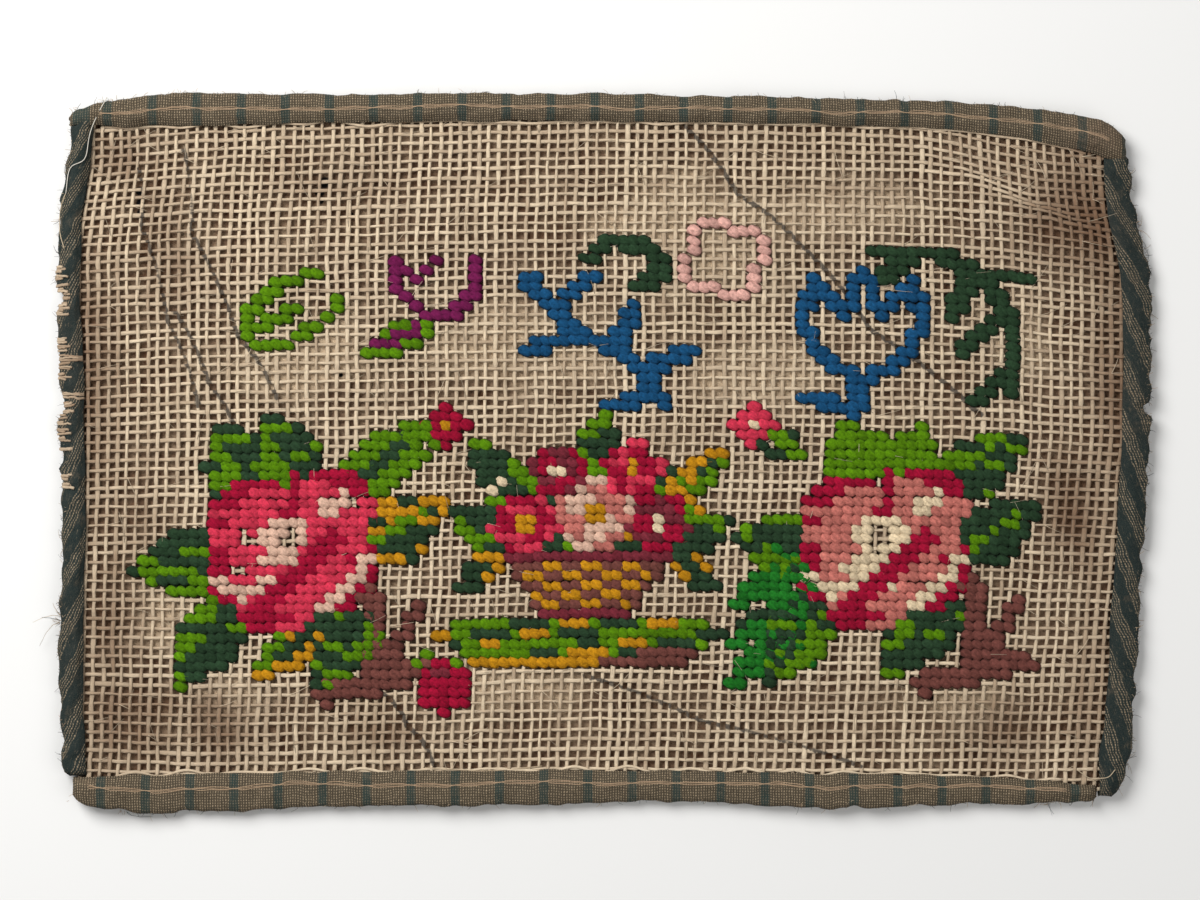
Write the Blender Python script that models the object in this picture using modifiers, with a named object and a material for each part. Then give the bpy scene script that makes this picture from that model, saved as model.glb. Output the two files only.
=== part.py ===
"""Needlework sampler lying flat and face up: canvas, lining, four folded bindings and three worked areas of wool.

Lengths are millimetres until they reach a mesh. X runs along the long side, Y up the design, Z up from the
surface that the sampler lies on. The origin is the middle of the outline, at the surface.
"""
from typing import NamedTuple

import bpy
from math import cos, radians, sin, tau

MM = 0.001

# Layers, from the surface up: lining or the back of a binding, canvas, front of a binding or wool
CLOTH = 1.0
GAP = 0.4
CANVAS_Z = CLOTH + GAP
FRONT_Z = 2 * (CLOTH + GAP)
FOLD_TOP = FRONT_Z + CLOTH

# Cells of the canvas along its long and short side, the outer ones hidden in the bindings
COLUMNS = 36
ROWS = 24
CANVAS_INSET = 2.2

# A first guess at half the open cloth's length and height, and the rounds that settle each crossing from it
HALF_LENGTH = 130
HALF_HEIGHT = 85
SETTLE_ROUNDS = 6

# Cells along a long and a short binding, and how far its soft roll stands above a flat fold
LONG_CELLS = 36
SHORT_CELLS = 24
ROLL_HEIGHT = 0.6
FOLD_RADIUS = 1.3
FOLD_CORNER = 0.4

# The roll's section on the front of a binding, from the canvas outward: share of the width, share of the height
ROLL_SECTION = ((1.0, 0.0), (0.75, 0.8), (0.45, 1.0))
FOLD_SHARE = 0.4

# Points round a worked area, and how blunt its leaves are
OUTLINE_POINTS = 90
LEAF_BLUNTNESS = 2.0


class Section(NamedTuple):
    """A place along one edge of the sampler, seen with that edge outward."""
    along: float
    out: float
    width: float
    lump: float


class Binding(NamedTuple):
    """One folded strip: which way it runs clockwise, which way is outward, and its sections in order."""
    name: str
    along: tuple
    outward: tuple
    cells: int
    sections: tuple


class Pucker(NamedTuple):
    """A soft ridge in the cloth: its middle, the turn of its crest from X, its half sizes and its height."""
    x: float
    y: float
    turn: float
    half_length: float
    half_width: float
    height: float


class Leaf(NamedTuple):
    """A pointed lobe of a worked area: its direction and reach from the middle, and its half width in degrees."""
    direction: float
    reach: float
    spread: float


class Motif(NamedTuple):
    """A worked area: its middle, the half sizes of its body, and its leaves."""
    name: str
    x: float
    y: float
    half_x: float
    half_y: float
    leaves: tuple


# Each row: along, out, width, lump
TOP = Binding("binding_top", (1, 0), (0, 1), LONG_CELLS, tuple(Section(*row) for row in (
    (-129.7, 89.2, 5.9, 0.3),
    (-121.8, 90.4, 7.2, 0.2),
    (-109.0, 92.2, 8.7, 0.0),
    (-70.5, 91.7, 7.4, 0.0),
    (-19.2, 92.0, 7.3, 0.2),
    (32.1, 91.2, 6.9, 0.0),
    (70.6, 90.4, 6.9, 0.2),
    (96.3, 89.4, 7.7, 0.0),
    (114.2, 87.4, 8.7, 0.4),
    (124.5, 85.6, 9.2, 1.2),
    (130.1, 84.0, 9.7, 1.4),
    (133.9, 80.7, 7.2, 0.6),
)))
RIGHT = Binding("binding_right", (0, -1), (1, 0), SHORT_CELLS, tuple(Section(*row) for row in (
    (-73.0, 133.9, 6.7, 0.5),
    (-64.8, 135.0, 6.9, 0.2),
    (-52.0, 138.1, 8.0, 0.3),
    (-43.0, 140.1, 8.2, 0.0),
    (-25.0, 139.9, 7.4, 0.2),
    (-7.1, 139.1, 7.2, 0.0),
    (10.9, 138.9, 7.7, 0.3),
    (28.9, 137.1, 6.9, 0.0),
    (46.8, 136.3, 7.4, 0.2),
    (64.8, 135.5, 7.4, 0.0),
    (73.8, 134.8, 8.2, 0.3),
    (82.7, 132.5, 6.7, 0.4),
    (88.5, 130.4, 4.6, 0.2),
)))
BOTTOM = Binding("binding_bottom", (-1, 0), (0, -1), LONG_CELLS, tuple(Section(*row) for row in (
    (-125.4, 89.2, 4.4, 0.2),
    (-109.1, 89.9, 6.4, 0.3),
    (-83.4, 90.4, 8.0, 0.0),
    (-57.8, 91.0, 9.0, 0.2),
    (-19.3, 89.4, 8.0, 0.0),
    (19.2, 90.2, 9.0, 0.2),
    (57.7, 90.4, 9.0, 0.0),
    (83.3, 91.2, 9.5, 0.2),
    (109.0, 92.2, 10.0, 0.0),
    (121.8, 92.0, 9.5, 0.3),
    (132.1, 90.4, 7.7, 0.5),
    (136.4, 88.6, 5.6, 0.3),
)))
LEFT = Binding("binding_left", (0, 1), (-1, 0), SHORT_CELLS, tuple(Section(*row) for row in (
    (-82.2, 137.6, 5.4, 0.3),
    (-73.8, 139.0, 6.2, 0.0),
    (-55.8, 139.7, 6.4, 0.2),
    (-37.8, 139.3, 6.2, 0.0),
    (-19.9, 138.7, 6.2, 0.3),
    (-1.9, 139.3, 6.4, 0.0),
    (25.0, 139.5, 6.2, 0.2),
    (43.0, 140.1, 6.0, 0.0),
    (60.9, 139.3, 5.9, 0.2),
    (69.9, 138.5, 6.4, 0.3),
    (77.6, 136.9, 6.4, 0.8),
    (83.3, 136.2, 5.9, 1.0),
    (88.4, 134.1, 3.8, 0.4),
)))

# Each row: x, y, turn, half_length, half_width, height
PUCKERS = tuple(Pucker(*row) for row in (
    (106.0, 67.0, -24, 34, 15, 2.2),
    (122.0, 50.0, -58, 30, 15, 1.6),
    (-131.0, 40.0, 88, 40, 15, 1.2),
    (-133.0, -40.0, 92, 34, 14, 0.9),
    (132.0, 4.0, 92, 42, 15, 1.4),
    (131.0, -62.0, 82, 26, 15, 1.0),
    (-130.0, 86.0, 40, 26, 18, 1.8),
    (132.0, 84.0, -40, 24, 16, 1.6),
    (-133.0, -86.0, -40, 26, 18, 1.6),
    (128.0, -86.0, 40, 26, 18, 1.4),
    (-52.0, 90.0, 0, 34, 15, 0.9),
    (38.0, 90.0, 0, 36, 15, 1.1),
    (-40.0, -90.0, 0, 34, 15, 0.8),
    (62.0, -90.0, 0, 34, 15, 1.0),
))

MOTIFS = (
    Motif("wool_flower_left", -79.0, -24.5, 21.5, 21.5, tuple(Leaf(*row) for row in (
        (17, 41, 17),
        (45, 46, 14),
        (118, 35, 24),
        (187, 42, 15),
        (230, 42, 15),
        (285, 36, 30),
    ))),
    Motif("wool_basket", -1.5, -26.0, 24.0, 22.0, tuple(Leaf(*row) for row in (
        (20, 33, 28),
        (90, 34, 34),
        (160, 33, 28),
        (216, 37, 20),
        (324, 37, 20),
    ))),
    Motif("wool_flower_right", 74.5, -24.5, 21.5, 21.5, tuple(Leaf(*row) for row in (
        (16, 40, 14),
        (44, 46, 14),
        (100, 35, 24),
        (180, 40, 17),
        (231, 43, 15),
        (285, 36, 24),
    ))),
)

# Name: red, green, blue, roughness
FINISHES = {
    "canvas": (0.60, 0.46, 0.29, 0.85),
    "lining": (0.40, 0.29, 0.17, 0.92),
    "binding_top": (0.16, 0.13, 0.10, 0.9),
    "binding_right": (0.07, 0.10, 0.11, 0.9),
    "binding_bottom": (0.16, 0.13, 0.10, 0.9),
    "binding_left": (0.07, 0.10, 0.11, 0.9),
    "wool_flower_left": (0.55, 0.05, 0.09, 0.95),
    "wool_basket": (0.10, 0.24, 0.05, 0.95),
    "wool_flower_right": (0.55, 0.10, 0.12, 0.95),
}


def clear_scene():
    """Remove every object that the file opened with."""
    for old in list(bpy.data.objects):
        bpy.data.objects.remove(old, do_unlink=True)


def mix(a, b, t):
    return a + (b - a) * t


def slope_at(rows, field, k):
    """Slope of a field at row k, zero where the field turns, so that the curve never overshoots a row."""
    if k == 0 or k == len(rows) - 1:
        return 0.0
    before = (getattr(rows[k], field) - getattr(rows[k - 1], field)) / (rows[k].along - rows[k - 1].along)
    after = (getattr(rows[k + 1], field) - getattr(rows[k], field)) / (rows[k + 1].along - rows[k].along)
    if before * after <= 0:
        return 0.0
    return 2 * before * after / (before + after)


def edge_value(binding, field, along):
    """A field of a binding's sections at any place along it, on a smooth curve through the sections."""
    rows = binding.sections
    along = min(max(along, rows[0].along), rows[-1].along)
    k = max(i for i in range(len(rows) - 1) if rows[i].along <= along)
    step = rows[k + 1].along - rows[k].along
    t = (along - rows[k].along) / step
    start = getattr(rows[k], field)
    end = getattr(rows[k + 1], field)
    lean_start = slope_at(rows, field, k) * step
    lean_end = slope_at(rows, field, k + 1) * step
    blend = t * t * (3 - 2 * t)
    return mix(start, end, blend) + lean_start * t * (1 - t) ** 2 - lean_end * t * t * (1 - t)


def outer_edge(binding, along):
    """Distance of the canvas's own edge from the middle, inside the fold of its binding."""
    return edge_value(binding, "out", along) - CANVAS_INSET


def inner_edge(binding, along):
    """Distance from the middle at which the lining and the open part of the canvas start."""
    return edge_value(binding, "out", along) - edge_value(binding, "width", along) - GAP


def cloth_height(x, y):
    """Height of the puckers at a place, level where none reaches."""
    height = 0.0
    for p in PUCKERS:
        turn = radians(p.turn)
        along = ((x - p.x) * cos(turn) + (y - p.y) * sin(turn)) / p.half_length
        across = ((y - p.y) * cos(turn) - (x - p.x) * sin(turn)) / p.half_width
        inside = max(0.0, 1 - along * along - across * across)
        height += p.height * inside * inside
    return height


def between(low, high, k, count):
    """Place of line k of the cloth's lines 0 to count, where lines 1 and count - 1 edge the open part."""
    if k == 0:
        return -low(outer_edge)
    if k == count:
        return high(outer_edge)
    return mix(-low(inner_edge), high(inner_edge), (k - 1) / (count - 2))


def cloth_point(column, row):
    """Where a column and a row of the cloth cross, settled between the four curved edges."""
    x = mix(-HALF_LENGTH, HALF_LENGTH, column / COLUMNS)
    y = mix(-HALF_HEIGHT, HALF_HEIGHT, row / ROWS)
    for _ in range(SETTLE_ROUNDS):
        x = between(lambda edge: edge(LEFT, y), lambda edge: edge(RIGHT, -y), column, COLUMNS)
        y = between(lambda edge: edge(BOTTOM, -x), lambda edge: edge(TOP, x), row, ROWS)
    return x, y


def material(name):
    """The plain finish of one piece."""
    red, green, blue, roughness = FINISHES[name]
    made = bpy.data.materials.new(name)
    made.use_nodes = True
    shader = made.node_tree.nodes["Principled BSDF"]
    shader.inputs["Base Color"].default_value = (red, green, blue, 1)
    shader.inputs["Roughness"].default_value = roughness
    shader.inputs["Metallic"].default_value = 0
    return made


def keep(piece, name, collection):
    """Name a piece, give it its finish and put it in the sampler's collection."""
    piece.name = name
    piece.data.name = name
    piece.data.materials.append(material(name))
    for home in list(piece.users_collection):
        home.objects.unlink(piece)
    collection.objects.link(piece)
    return piece


def mapped_grid(columns, rows, place):
    """A flat grid whose corner (i, j) is moved to place(i, j), in millimetres."""
    bpy.ops.mesh.primitive_grid_add(x_subdivisions=columns, y_subdivisions=rows, size=2)
    grid = bpy.context.object
    for vertex in grid.data.vertices:
        i = round((vertex.co.x + 1) / 2 * columns)
        j = round((vertex.co.y + 1) / 2 * rows)
        x, y, z = place(i, j)
        vertex.co = (x * MM, y * MM, z * MM)
    return grid


def thicken(piece, side):
    """Give a sheet its thickness: side 1 grows it along its normals, side -1 against them."""
    shell = piece.modifiers.new("thickness", "SOLIDIFY")
    shell.thickness = CLOTH * MM
    shell.offset = side
    shell.use_even_offset = True
    shell.use_rim = True


def make_canvas(collection):
    """The canvas, its edges inside the folds of the bindings."""
    def place(i, j):
        x, y = cloth_point(i, j)
        return x, y, CANVAS_Z + cloth_height(x, y)

    piece = mapped_grid(COLUMNS, ROWS, place)
    thicken(piece, 1)
    keep(piece, "canvas", collection)


def make_lining(collection):
    """The lining, on the canvas's own lines, so that the two puckers lie parallel."""
    def place(i, j):
        x, y = cloth_point(i + 1, j + 1)
        return x, y, cloth_height(x, y)

    piece = mapped_grid(COLUMNS - 2, ROWS - 2, place)
    thicken(piece, 1)
    keep(piece, "lining", collection)


def fold_path(width, lump):
    """The outside of a folded strip from its front inner edge round to its back one: inward distance, height."""
    roll = ROLL_HEIGHT + lump
    front = tuple((width * inward, FOLD_TOP + roll * height) for inward, height in ROLL_SECTION)
    return front + (
        (FOLD_RADIUS, FOLD_TOP + roll * FOLD_SHARE),
        (FOLD_CORNER, FOLD_TOP - FOLD_CORNER),
        (0.0, FOLD_TOP / 2),
        (FOLD_CORNER, FOLD_CORNER),
        (FOLD_RADIUS, 0.0),
        (width, 0.0),
    )


def strip_place(binding, along, step):
    """A point of a folded strip, riding on the canvas that it wraps."""
    out = edge_value(binding, "out", along)
    width = edge_value(binding, "width", along)
    inward, height = fold_path(width, edge_value(binding, "lump", along))[step]

    def at(distance):
        return tuple(a * along + o * distance for a, o in zip(binding.along, binding.outward))

    edge_height = cloth_height(*at(out - CANVAS_INSET))
    inner_height = cloth_height(*at(out - width - GAP))
    reach = (inward - CANVAS_INSET) / (width + GAP - CANVAS_INSET)
    x, y = at(out - inward)
    return x, y, height + max(0.0, mix(edge_height, inner_height, reach))


def make_binding(binding, collection):
    """A strip of cloth folded over one edge."""
    steps = len(fold_path(1, 0)) - 1
    start = binding.sections[0].along
    end = binding.sections[-1].along

    def place(i, j):
        return strip_place(binding, mix(start, end, i / binding.cells), j)

    piece = mapped_grid(binding.cells, steps, place)
    thicken(piece, -1)
    keep(piece, binding.name, collection)


def motif_reach(motif, angle):
    """Distance of a worked area's outline from its middle: an oval body with pointed leaves."""
    body = 1 / ((cos(angle) / motif.half_x) ** 2 + (sin(angle) / motif.half_y) ** 2) ** 0.5
    reach = body
    for leaf in motif.leaves:
        turn = (angle - radians(leaf.direction) + tau / 2) % tau - tau / 2
        off = abs(turn) / radians(leaf.spread)
        if off < 1:
            reach = max(reach, mix(leaf.reach, body, off ** LEAF_BLUNTNESS))
    return reach


def make_motif(motif, collection):
    """A closely worked area of wool, as a thin flat pad of its outline."""
    outline = bpy.data.curves.new(motif.name, "CURVE")
    outline.dimensions = "2D"
    outline.fill_mode = "BOTH"
    outline.extrude = CLOTH / 2 * MM
    spline = outline.splines.new("POLY")
    spline.points.add(OUTLINE_POINTS - 1)
    spline.use_cyclic_u = True
    for k, point in enumerate(spline.points):
        angle = tau * k / OUTLINE_POINTS
        reach = motif_reach(motif, angle)
        point.co = (reach * cos(angle) * MM, reach * sin(angle) * MM, 0, 1)
    piece = bpy.data.objects.new(motif.name, outline)
    bpy.context.scene.collection.objects.link(piece)
    piece.location = (motif.x * MM, motif.y * MM, (FRONT_Z + CLOTH / 2) * MM)
    keep(piece, motif.name, collection)


def main():
    clear_scene()
    collection = bpy.data.collections.new("needlework_sampler")
    bpy.context.scene.collection.children.link(collection)
    make_lining(collection)
    make_canvas(collection)
    for binding in (TOP, RIGHT, BOTTOM, LEFT):
        make_binding(binding, collection)
    for motif in MOTIFS:
        make_motif(motif, collection)


main()
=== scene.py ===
"""Needlework sampler: woven canvas threads, lining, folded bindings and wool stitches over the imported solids.

Lengths are millimetres until they reach a mesh, a light or the camera. X runs along the long side, Y up the
design and Z up from the surface that the sampler lies on.
"""

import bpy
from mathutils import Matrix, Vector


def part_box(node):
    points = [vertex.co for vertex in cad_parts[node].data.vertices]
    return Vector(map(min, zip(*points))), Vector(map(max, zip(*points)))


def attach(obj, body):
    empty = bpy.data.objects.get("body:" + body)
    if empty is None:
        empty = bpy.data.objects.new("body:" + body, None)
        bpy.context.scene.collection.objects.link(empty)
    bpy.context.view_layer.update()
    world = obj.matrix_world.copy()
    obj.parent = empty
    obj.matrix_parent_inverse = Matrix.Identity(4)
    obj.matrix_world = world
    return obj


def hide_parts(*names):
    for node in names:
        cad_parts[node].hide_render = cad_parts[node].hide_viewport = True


bl_info = {
    "name": "Needlework sampler",
    "version": (1, 0, 0),
    "blender": (4, 5, 0),
    "location": "3D View > Sidebar > Sampler",
    "description": "Weaves the canvas, folds the bindings and works the wool stitches of a small sampler",
    "category": "Object",
}

from math import atan2, cos, pi, radians, sin, tau

import bpy
import numpy as np
from bpy.props import FloatProperty, FloatVectorProperty, PointerProperty
from bpy.types import Operator, Panel, PropertyGroup
from mathutils import Vector
from mathutils.bvhtree import BVHTree

MM = 0.001
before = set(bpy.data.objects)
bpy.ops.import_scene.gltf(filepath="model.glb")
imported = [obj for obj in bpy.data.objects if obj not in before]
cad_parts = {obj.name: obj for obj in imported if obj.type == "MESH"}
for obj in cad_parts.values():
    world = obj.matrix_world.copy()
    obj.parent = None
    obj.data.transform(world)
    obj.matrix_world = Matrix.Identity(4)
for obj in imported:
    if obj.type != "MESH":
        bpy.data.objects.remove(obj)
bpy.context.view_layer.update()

UP = np.array((0.0, 0.0, 1.0))
DOWNWARD = Vector((0.0, 0.0, -1.0))
SEED = 1850

# A sum of waves is divided by this many times its usual height, so that it mostly stays between -1 and 1
WAVE_PEAK = 1.5

# Each binding: the way it runs, clockwise seen from above, and the way that is outward
BINDING_SIDES = {
    "binding_top": ((1, 0), (0, 1)),
    "binding_right": ((0, -1), (1, 0)),
    "binding_bottom": ((-1, 0), (0, -1)),
    "binding_left": ((0, 1), (-1, 0)),
}
MOTIF_NODES = ("wool_flower_left", "wool_basket", "wool_flower_right")


def random(name):
    """A random source of its own for each piece, so that one piece's draws don't change another's."""
    return np.random.default_rng([SEED, *name.encode()])


def waves(name, x, y, size, count=14):
    """Smooth unevenness from -1 to 1 over a plane, with features about size millimetres across."""
    draw = random(name)
    total = np.zeros(np.broadcast(x, y).shape)
    for _ in range(count):
        turn = draw.uniform(0, tau)
        length = size * draw.uniform(0.7, 1.8)
        phase = draw.uniform(0, tau)
        total = total + np.sin((x * cos(turn) + y * sin(turn)) * tau / length + phase)
    return total / count ** 0.5 / WAVE_PEAK


def ease(low, high, value):
    """Smooth step from 0 at low to 1 at high."""
    t = np.clip((value - low) / (high - low), 0, 1)
    return t * t * (3 - 2 * t)


def colour_property(name, description, default):
    return FloatVectorProperty(
        name=name, description=description, subtype="COLOR", size=3, min=0, max=1, default=default
    )


def length_property(name, description, default_mm):
    return FloatProperty(
        name=name, description=description, unit="LENGTH", subtype="DISTANCE", min=0, default=default_mm * MM
    )


def number_property(name, description, default, low=0):
    return FloatProperty(name=name, description=description, default=default, min=low)


class SamplerCanvas(PropertyGroup):
    """Sizes and colours of the canvas and its lining."""
    pitch: length_property("Thread pitch", "Distance between upright threads, ten to the inch", 2.54)
    row_pitch: length_property("Row pitch", "Mean distance between level threads", 2.40)
    upright_width: length_property("Upright width", "Width of an upright thread", 1.0)
    level_width: length_property("Level width", "Width of a level thread", 0.88)
    thickness: length_property("Thread thickness", "Thickness of a flattened thread", 0.46)
    weave_depth: length_property("Weave depth", "How far a thread rises and dips from the middle", 0.21)
    thread_colour: colour_property("Thread", "Clean canvas thread", (0.69, 0.555, 0.388))
    worn_colour: colour_property("Worn thread", "Handled, darker thread", (0.40, 0.295, 0.195))
    stain_colour: colour_property("Stain", "Brown stain on the cloth", (0.152, 0.076, 0.038))
    pencil_colour: colour_property("Pencil", "Grey drawing line", (0.040, 0.032, 0.026))
    lining_colour: colour_property("Lining", "Lining where it lies close", (0.66, 0.50, 0.33))
    # Painted shade where the lining sags away behind the canvas, mixed with real browning
    lining_shade_and_brown: colour_property("Lining shade", "Lining where it is browned", (0.120, 0.048, 0.020))


class SamplerBinding(PropertyGroup):
    """Sizes and colours of the folded bindings."""
    thickness: length_property("Cloth thickness", "Thickness of the binding cloth", 0.45)
    bar_pitch: length_property("Bar pitch", "Distance between the cross bars", 11.3)
    bar_width: length_property("Bar width", "Width of a cross bar", 2.25)
    band_pitch: length_property("Band pitch", "Distance between the slanting bands of the bias strips", 6.4)
    band_width: length_property("Band width", "Width of a slanting band", 3.3)
    ground_colour: colour_property("Ground", "Grey-brown ground of the cloth", (0.070, 0.056, 0.038))
    speck_colour: colour_property("Speck", "Light specks of the weave", (0.43, 0.33, 0.215))
    bar_colour: colour_property("Bar", "Blue-green cross bars", (0.026, 0.048, 0.044))
    band_colour: colour_property("Bias ground", "Dark blue-green of the bias strips", (0.006, 0.021, 0.024))
    rust_colour: colour_property("Rust", "Reddish brown of the stained corners", (0.170, 0.108, 0.076))
    cord_colour: colour_property("Raised thread", "Cream raised threads", (0.44, 0.30, 0.185))


class SamplerWool(PropertyGroup):
    """Sizes and colours of the wool."""
    width: length_property("Stitch width", "Width of one wool stitch", 2.30)
    height: length_property("Stitch height", "Height of one wool stitch", 0.84)
    bright: colour_property("Bright green", "Leaf light", (0.074, 0.180, 0.003))
    emerald: colour_property("Emerald", "Cool leaf green", (0.012, 0.135, 0.014))
    dark: colour_property("Bottle green", "Leaf shade", (0.018, 0.041, 0.019))
    crimson: colour_property("Crimson", "Petal shade", (0.275, 0.005, 0.026))
    coral: colour_property("Coral", "Petal light", (0.495, 0.030, 0.062))
    pink: colour_property("Dusty pink", "Faded petal", (0.420, 0.130, 0.105))
    pale: colour_property("Pale pink", "Petal highlight", (0.540, 0.345, 0.255))
    cream: colour_property("Cream", "Petal edge", (0.580, 0.460, 0.300))
    ochre: colour_property("Ochre", "Gold wool", (0.410, 0.185, 0.007))
    brown: colour_property("Brown", "Stem wool", (0.135, 0.045, 0.036))
    maroon: colour_property("Maroon", "Dark red-brown wool", (0.145, 0.020, 0.030))
    blue: colour_property("Blue", "Outline blue", (0.008, 0.060, 0.145))
    purple: colour_property("Purple", "Outline purple", (0.135, 0.010, 0.060))
    faded: colour_property("Faded pink", "Washed-out pink", (0.56, 0.31, 0.26))


class SamplerStage(PropertyGroup):
    """The floor, the light and the camera."""
    floor_colour: colour_property("Floor", "Plain pale floor", (0.76, 0.755, 0.74))
    view_width: length_property("View width", "Width of the view at the floor", 307.9)
    view_x: FloatProperty(name="View X", description="Middle of the view", unit="LENGTH", default=-1.22 * MM)
    view_y: FloatProperty(name="View Y", description="Middle of the view", unit="LENGTH", default=0.64 * MM)
    lens: number_property("Lens", "Focal length in millimetres", 100, 20)
    key_power: number_property("Key light", "Power of the main light in watts", 9)
    fill_power: number_property("Fill light", "Power of the fill light in watts", 3)
    sky: number_property("Room light", "Strength of the even light", 0.24)


class Value:
    """A shader socket. Arithmetic on it adds Math nodes to its finish."""

    def __init__(self, finish, socket):
        self.finish = finish
        self.socket = socket

    def maths(self, operation, first, second=0.0):
        return self.finish.node("ShaderNodeMath", {"operation": operation}, {0: first, 1: second})

    def __add__(self, other):
        return self.maths("ADD", self, other)

    def __radd__(self, other):
        return self.maths("ADD", other, self)

    def __sub__(self, other):
        return self.maths("SUBTRACT", self, other)

    def __rsub__(self, other):
        return self.maths("SUBTRACT", other, self)

    def __mul__(self, other):
        return self.maths("MULTIPLY", self, other)

    def __rmul__(self, other):
        return self.maths("MULTIPLY", other, self)

    def __truediv__(self, other):
        return self.maths("DIVIDE", self, other)

    def __rtruediv__(self, other):
        return self.maths("DIVIDE", other, self)

    def __mod__(self, other):
        return self.maths("FLOORED_MODULO", self, other)

    def sine(self):
        return self.maths("SINE", self)

    def floor(self):
        return self.maths("FLOOR", self)

    def size(self):
        return self.maths("ABSOLUTE", self)

    def most(self, other):
        return self.maths("MAXIMUM", self, other)

    def least(self, other):
        return self.maths("MINIMUM", self, other)

    def step(self, low, high):
        """Smooth step from 0 at low to 1 at high."""
        places = {"Value": self, "From Min": low, "From Max": high}
        return self.finish.node("ShaderNodeMapRange", {"interpolation_type": "SMOOTHSTEP"}, places)


class Finish:
    """A material under construction, with a method for each thing that the finishes need."""

    def __init__(self, name, roughness, sheen=0.0, specular=0.3):
        self.material = bpy.data.materials.new(name)
        self.material.use_nodes = True
        self.tree = self.material.node_tree
        self.shader = self.tree.nodes["Principled BSDF"]
        self.shader.inputs["Roughness"].default_value = roughness
        self.shader.inputs["Sheen Weight"].default_value = sheen
        self.shader.inputs["Sheen Roughness"].default_value = 0.6
        self.shader.inputs["Specular IOR Level"].default_value = specular

    def node(self, kind, settings, values, output=0):
        """Any node: its settings first, then the values or links of its sockets."""
        made = self.tree.nodes.new(kind)
        for key, value in settings.items():
            setattr(made, key, value)
        for key, value in values.items():
            self.feed(made.inputs[key], value)
        return Value(self, made.outputs[output])

    def feed(self, socket, value):
        if isinstance(value, Value):
            self.tree.links.new(value.socket, socket)
        else:
            socket.default_value = value

    def mark(self, name, output="Fac"):
        """A value that the mesh carries at each point."""
        return self.node("ShaderNodeAttribute", {"attribute_name": name}, {}, output)

    def split(self, vector):
        """The three numbers of a vector."""
        made = self.node("ShaderNodeSeparateXYZ", {}, {0: vector})
        outputs = made.socket.node.outputs
        return tuple(Value(self, outputs[k]) for k in range(3))

    def place(self):
        """The three numbers, in millimetres, of the place on the piece."""
        vector = self.node("ShaderNodeTexCoord", {}, {}, "Object")
        return tuple(number / MM for number in self.split(vector))

    def joined(self, x, y, z=0.0):
        return self.node("ShaderNodeCombineXYZ", {}, {0: x, 1: y, 2: z})

    def noise(self, vector, scale, detail=2.0, roughness=0.5):
        """Noise from 0 to 1."""
        places = {"Vector": vector, "Scale": scale, "Detail": detail, "Roughness": roughness}
        return self.node("ShaderNodeTexNoise", {}, places)

    def blend(self, first, second, share):
        """One colour over another, by a share from 0 to 1."""
        colours = [c if isinstance(c, Value) else (*c, 1.0) for c in (first, second)]
        return self.node(
            "ShaderNodeMix", {"data_type": "RGBA"}, {0: share, 6: colours[0], 7: colours[1]}, 2
        )

    def shaded(self, colour, grey):
        """A colour made lighter or darker by a number near 1."""
        level = self.joined(grey, grey, grey)
        settings = {"data_type": "RGBA", "blend_type": "MULTIPLY"}
        colour = colour if isinstance(colour, Value) else (*colour, 1.0)
        return self.node("ShaderNodeMix", settings, {0: 1.0, 6: colour, 7: level}, 2)

    def finished(self, colour, height, distance, roughness=None):
        """Links colour, bump of a height in millimetres, and roughness, and gives the material."""
        self.feed(self.shader.inputs["Base Color"], colour)
        places = {"Height": height, "Distance": distance * MM, "Strength": 1.0}
        bump = self.node("ShaderNodeBump", {}, places)
        self.feed(self.shader.inputs["Normal"], bump)
        if roughness is not None:
            self.feed(self.shader.inputs["Roughness"], roughness)
        return self.material


class Bundle:
    """Points, faces and marks of many small shapes that become one piece."""

    def __init__(self):
        self.points = []
        self.faces = {}
        self.marks = {}
        self.count = 0

    def add(self, points, faces, **marks):
        self.points.append(points)
        for face in faces:
            self.faces.setdefault(face.shape[1], []).append(face + self.count)
        for name, values in marks.items():
            self.marks.setdefault(name, []).append(values)
        self.count += len(points)

    def piece(self, name, material, slot):
        """The mesh object, riding on the root body."""
        mesh = bpy.data.meshes.new(name)
        groups = [np.concatenate(self.faces[size]) for size in sorted(self.faces)]
        points = np.concatenate(self.points) * MM
        corners = np.concatenate([group.ravel() for group in groups])
        sizes = np.concatenate([np.full(len(group), group.shape[1]) for group in groups])
        mesh.vertices.add(len(points))
        mesh.vertices.foreach_set("co", points.astype(np.float32).ravel())
        mesh.loops.add(len(corners))
        mesh.loops.foreach_set("vertex_index", corners.astype(np.int32))
        mesh.polygons.add(len(sizes))
        mesh.polygons.foreach_set("loop_start", (np.cumsum(sizes) - sizes).astype(np.int32))
        mesh.polygons.foreach_set("use_smooth", np.ones(len(sizes), bool))
        for mark, parts in self.marks.items():
            values = np.concatenate(parts).astype(np.float32)
            kind, field = ("FLOAT", "value") if values.ndim == 1 else ("FLOAT_VECTOR", "vector")
            mesh.attributes.new(mark, kind, "POINT").data.foreach_set(field, values.ravel())
        mesh.update(calc_edges=True)
        mesh.validate()
        mesh.materials.append(material)
        made = bpy.data.objects.new(name, mesh)
        bpy.context.scene.collection.objects.link(made)
        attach(made, "root")
        return made


def grid_faces(rows, columns, wrap=False):
    """Quads of a grid of points, closed round its columns when it wraps."""
    last = columns if wrap else columns - 1
    a = (np.arange(rows - 1)[:, None] * columns + np.arange(last)[None, :]).ravel()
    step = (np.arange(last) + 1) % columns - np.arange(last)
    b = a + np.tile(step, rows - 1)
    return np.stack([a, b, b + columns, a + columns], 1)


def unit(vectors):
    return vectors / np.maximum(np.linalg.norm(vectors, axis=-1, keepdims=True), 1e-9)


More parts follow.
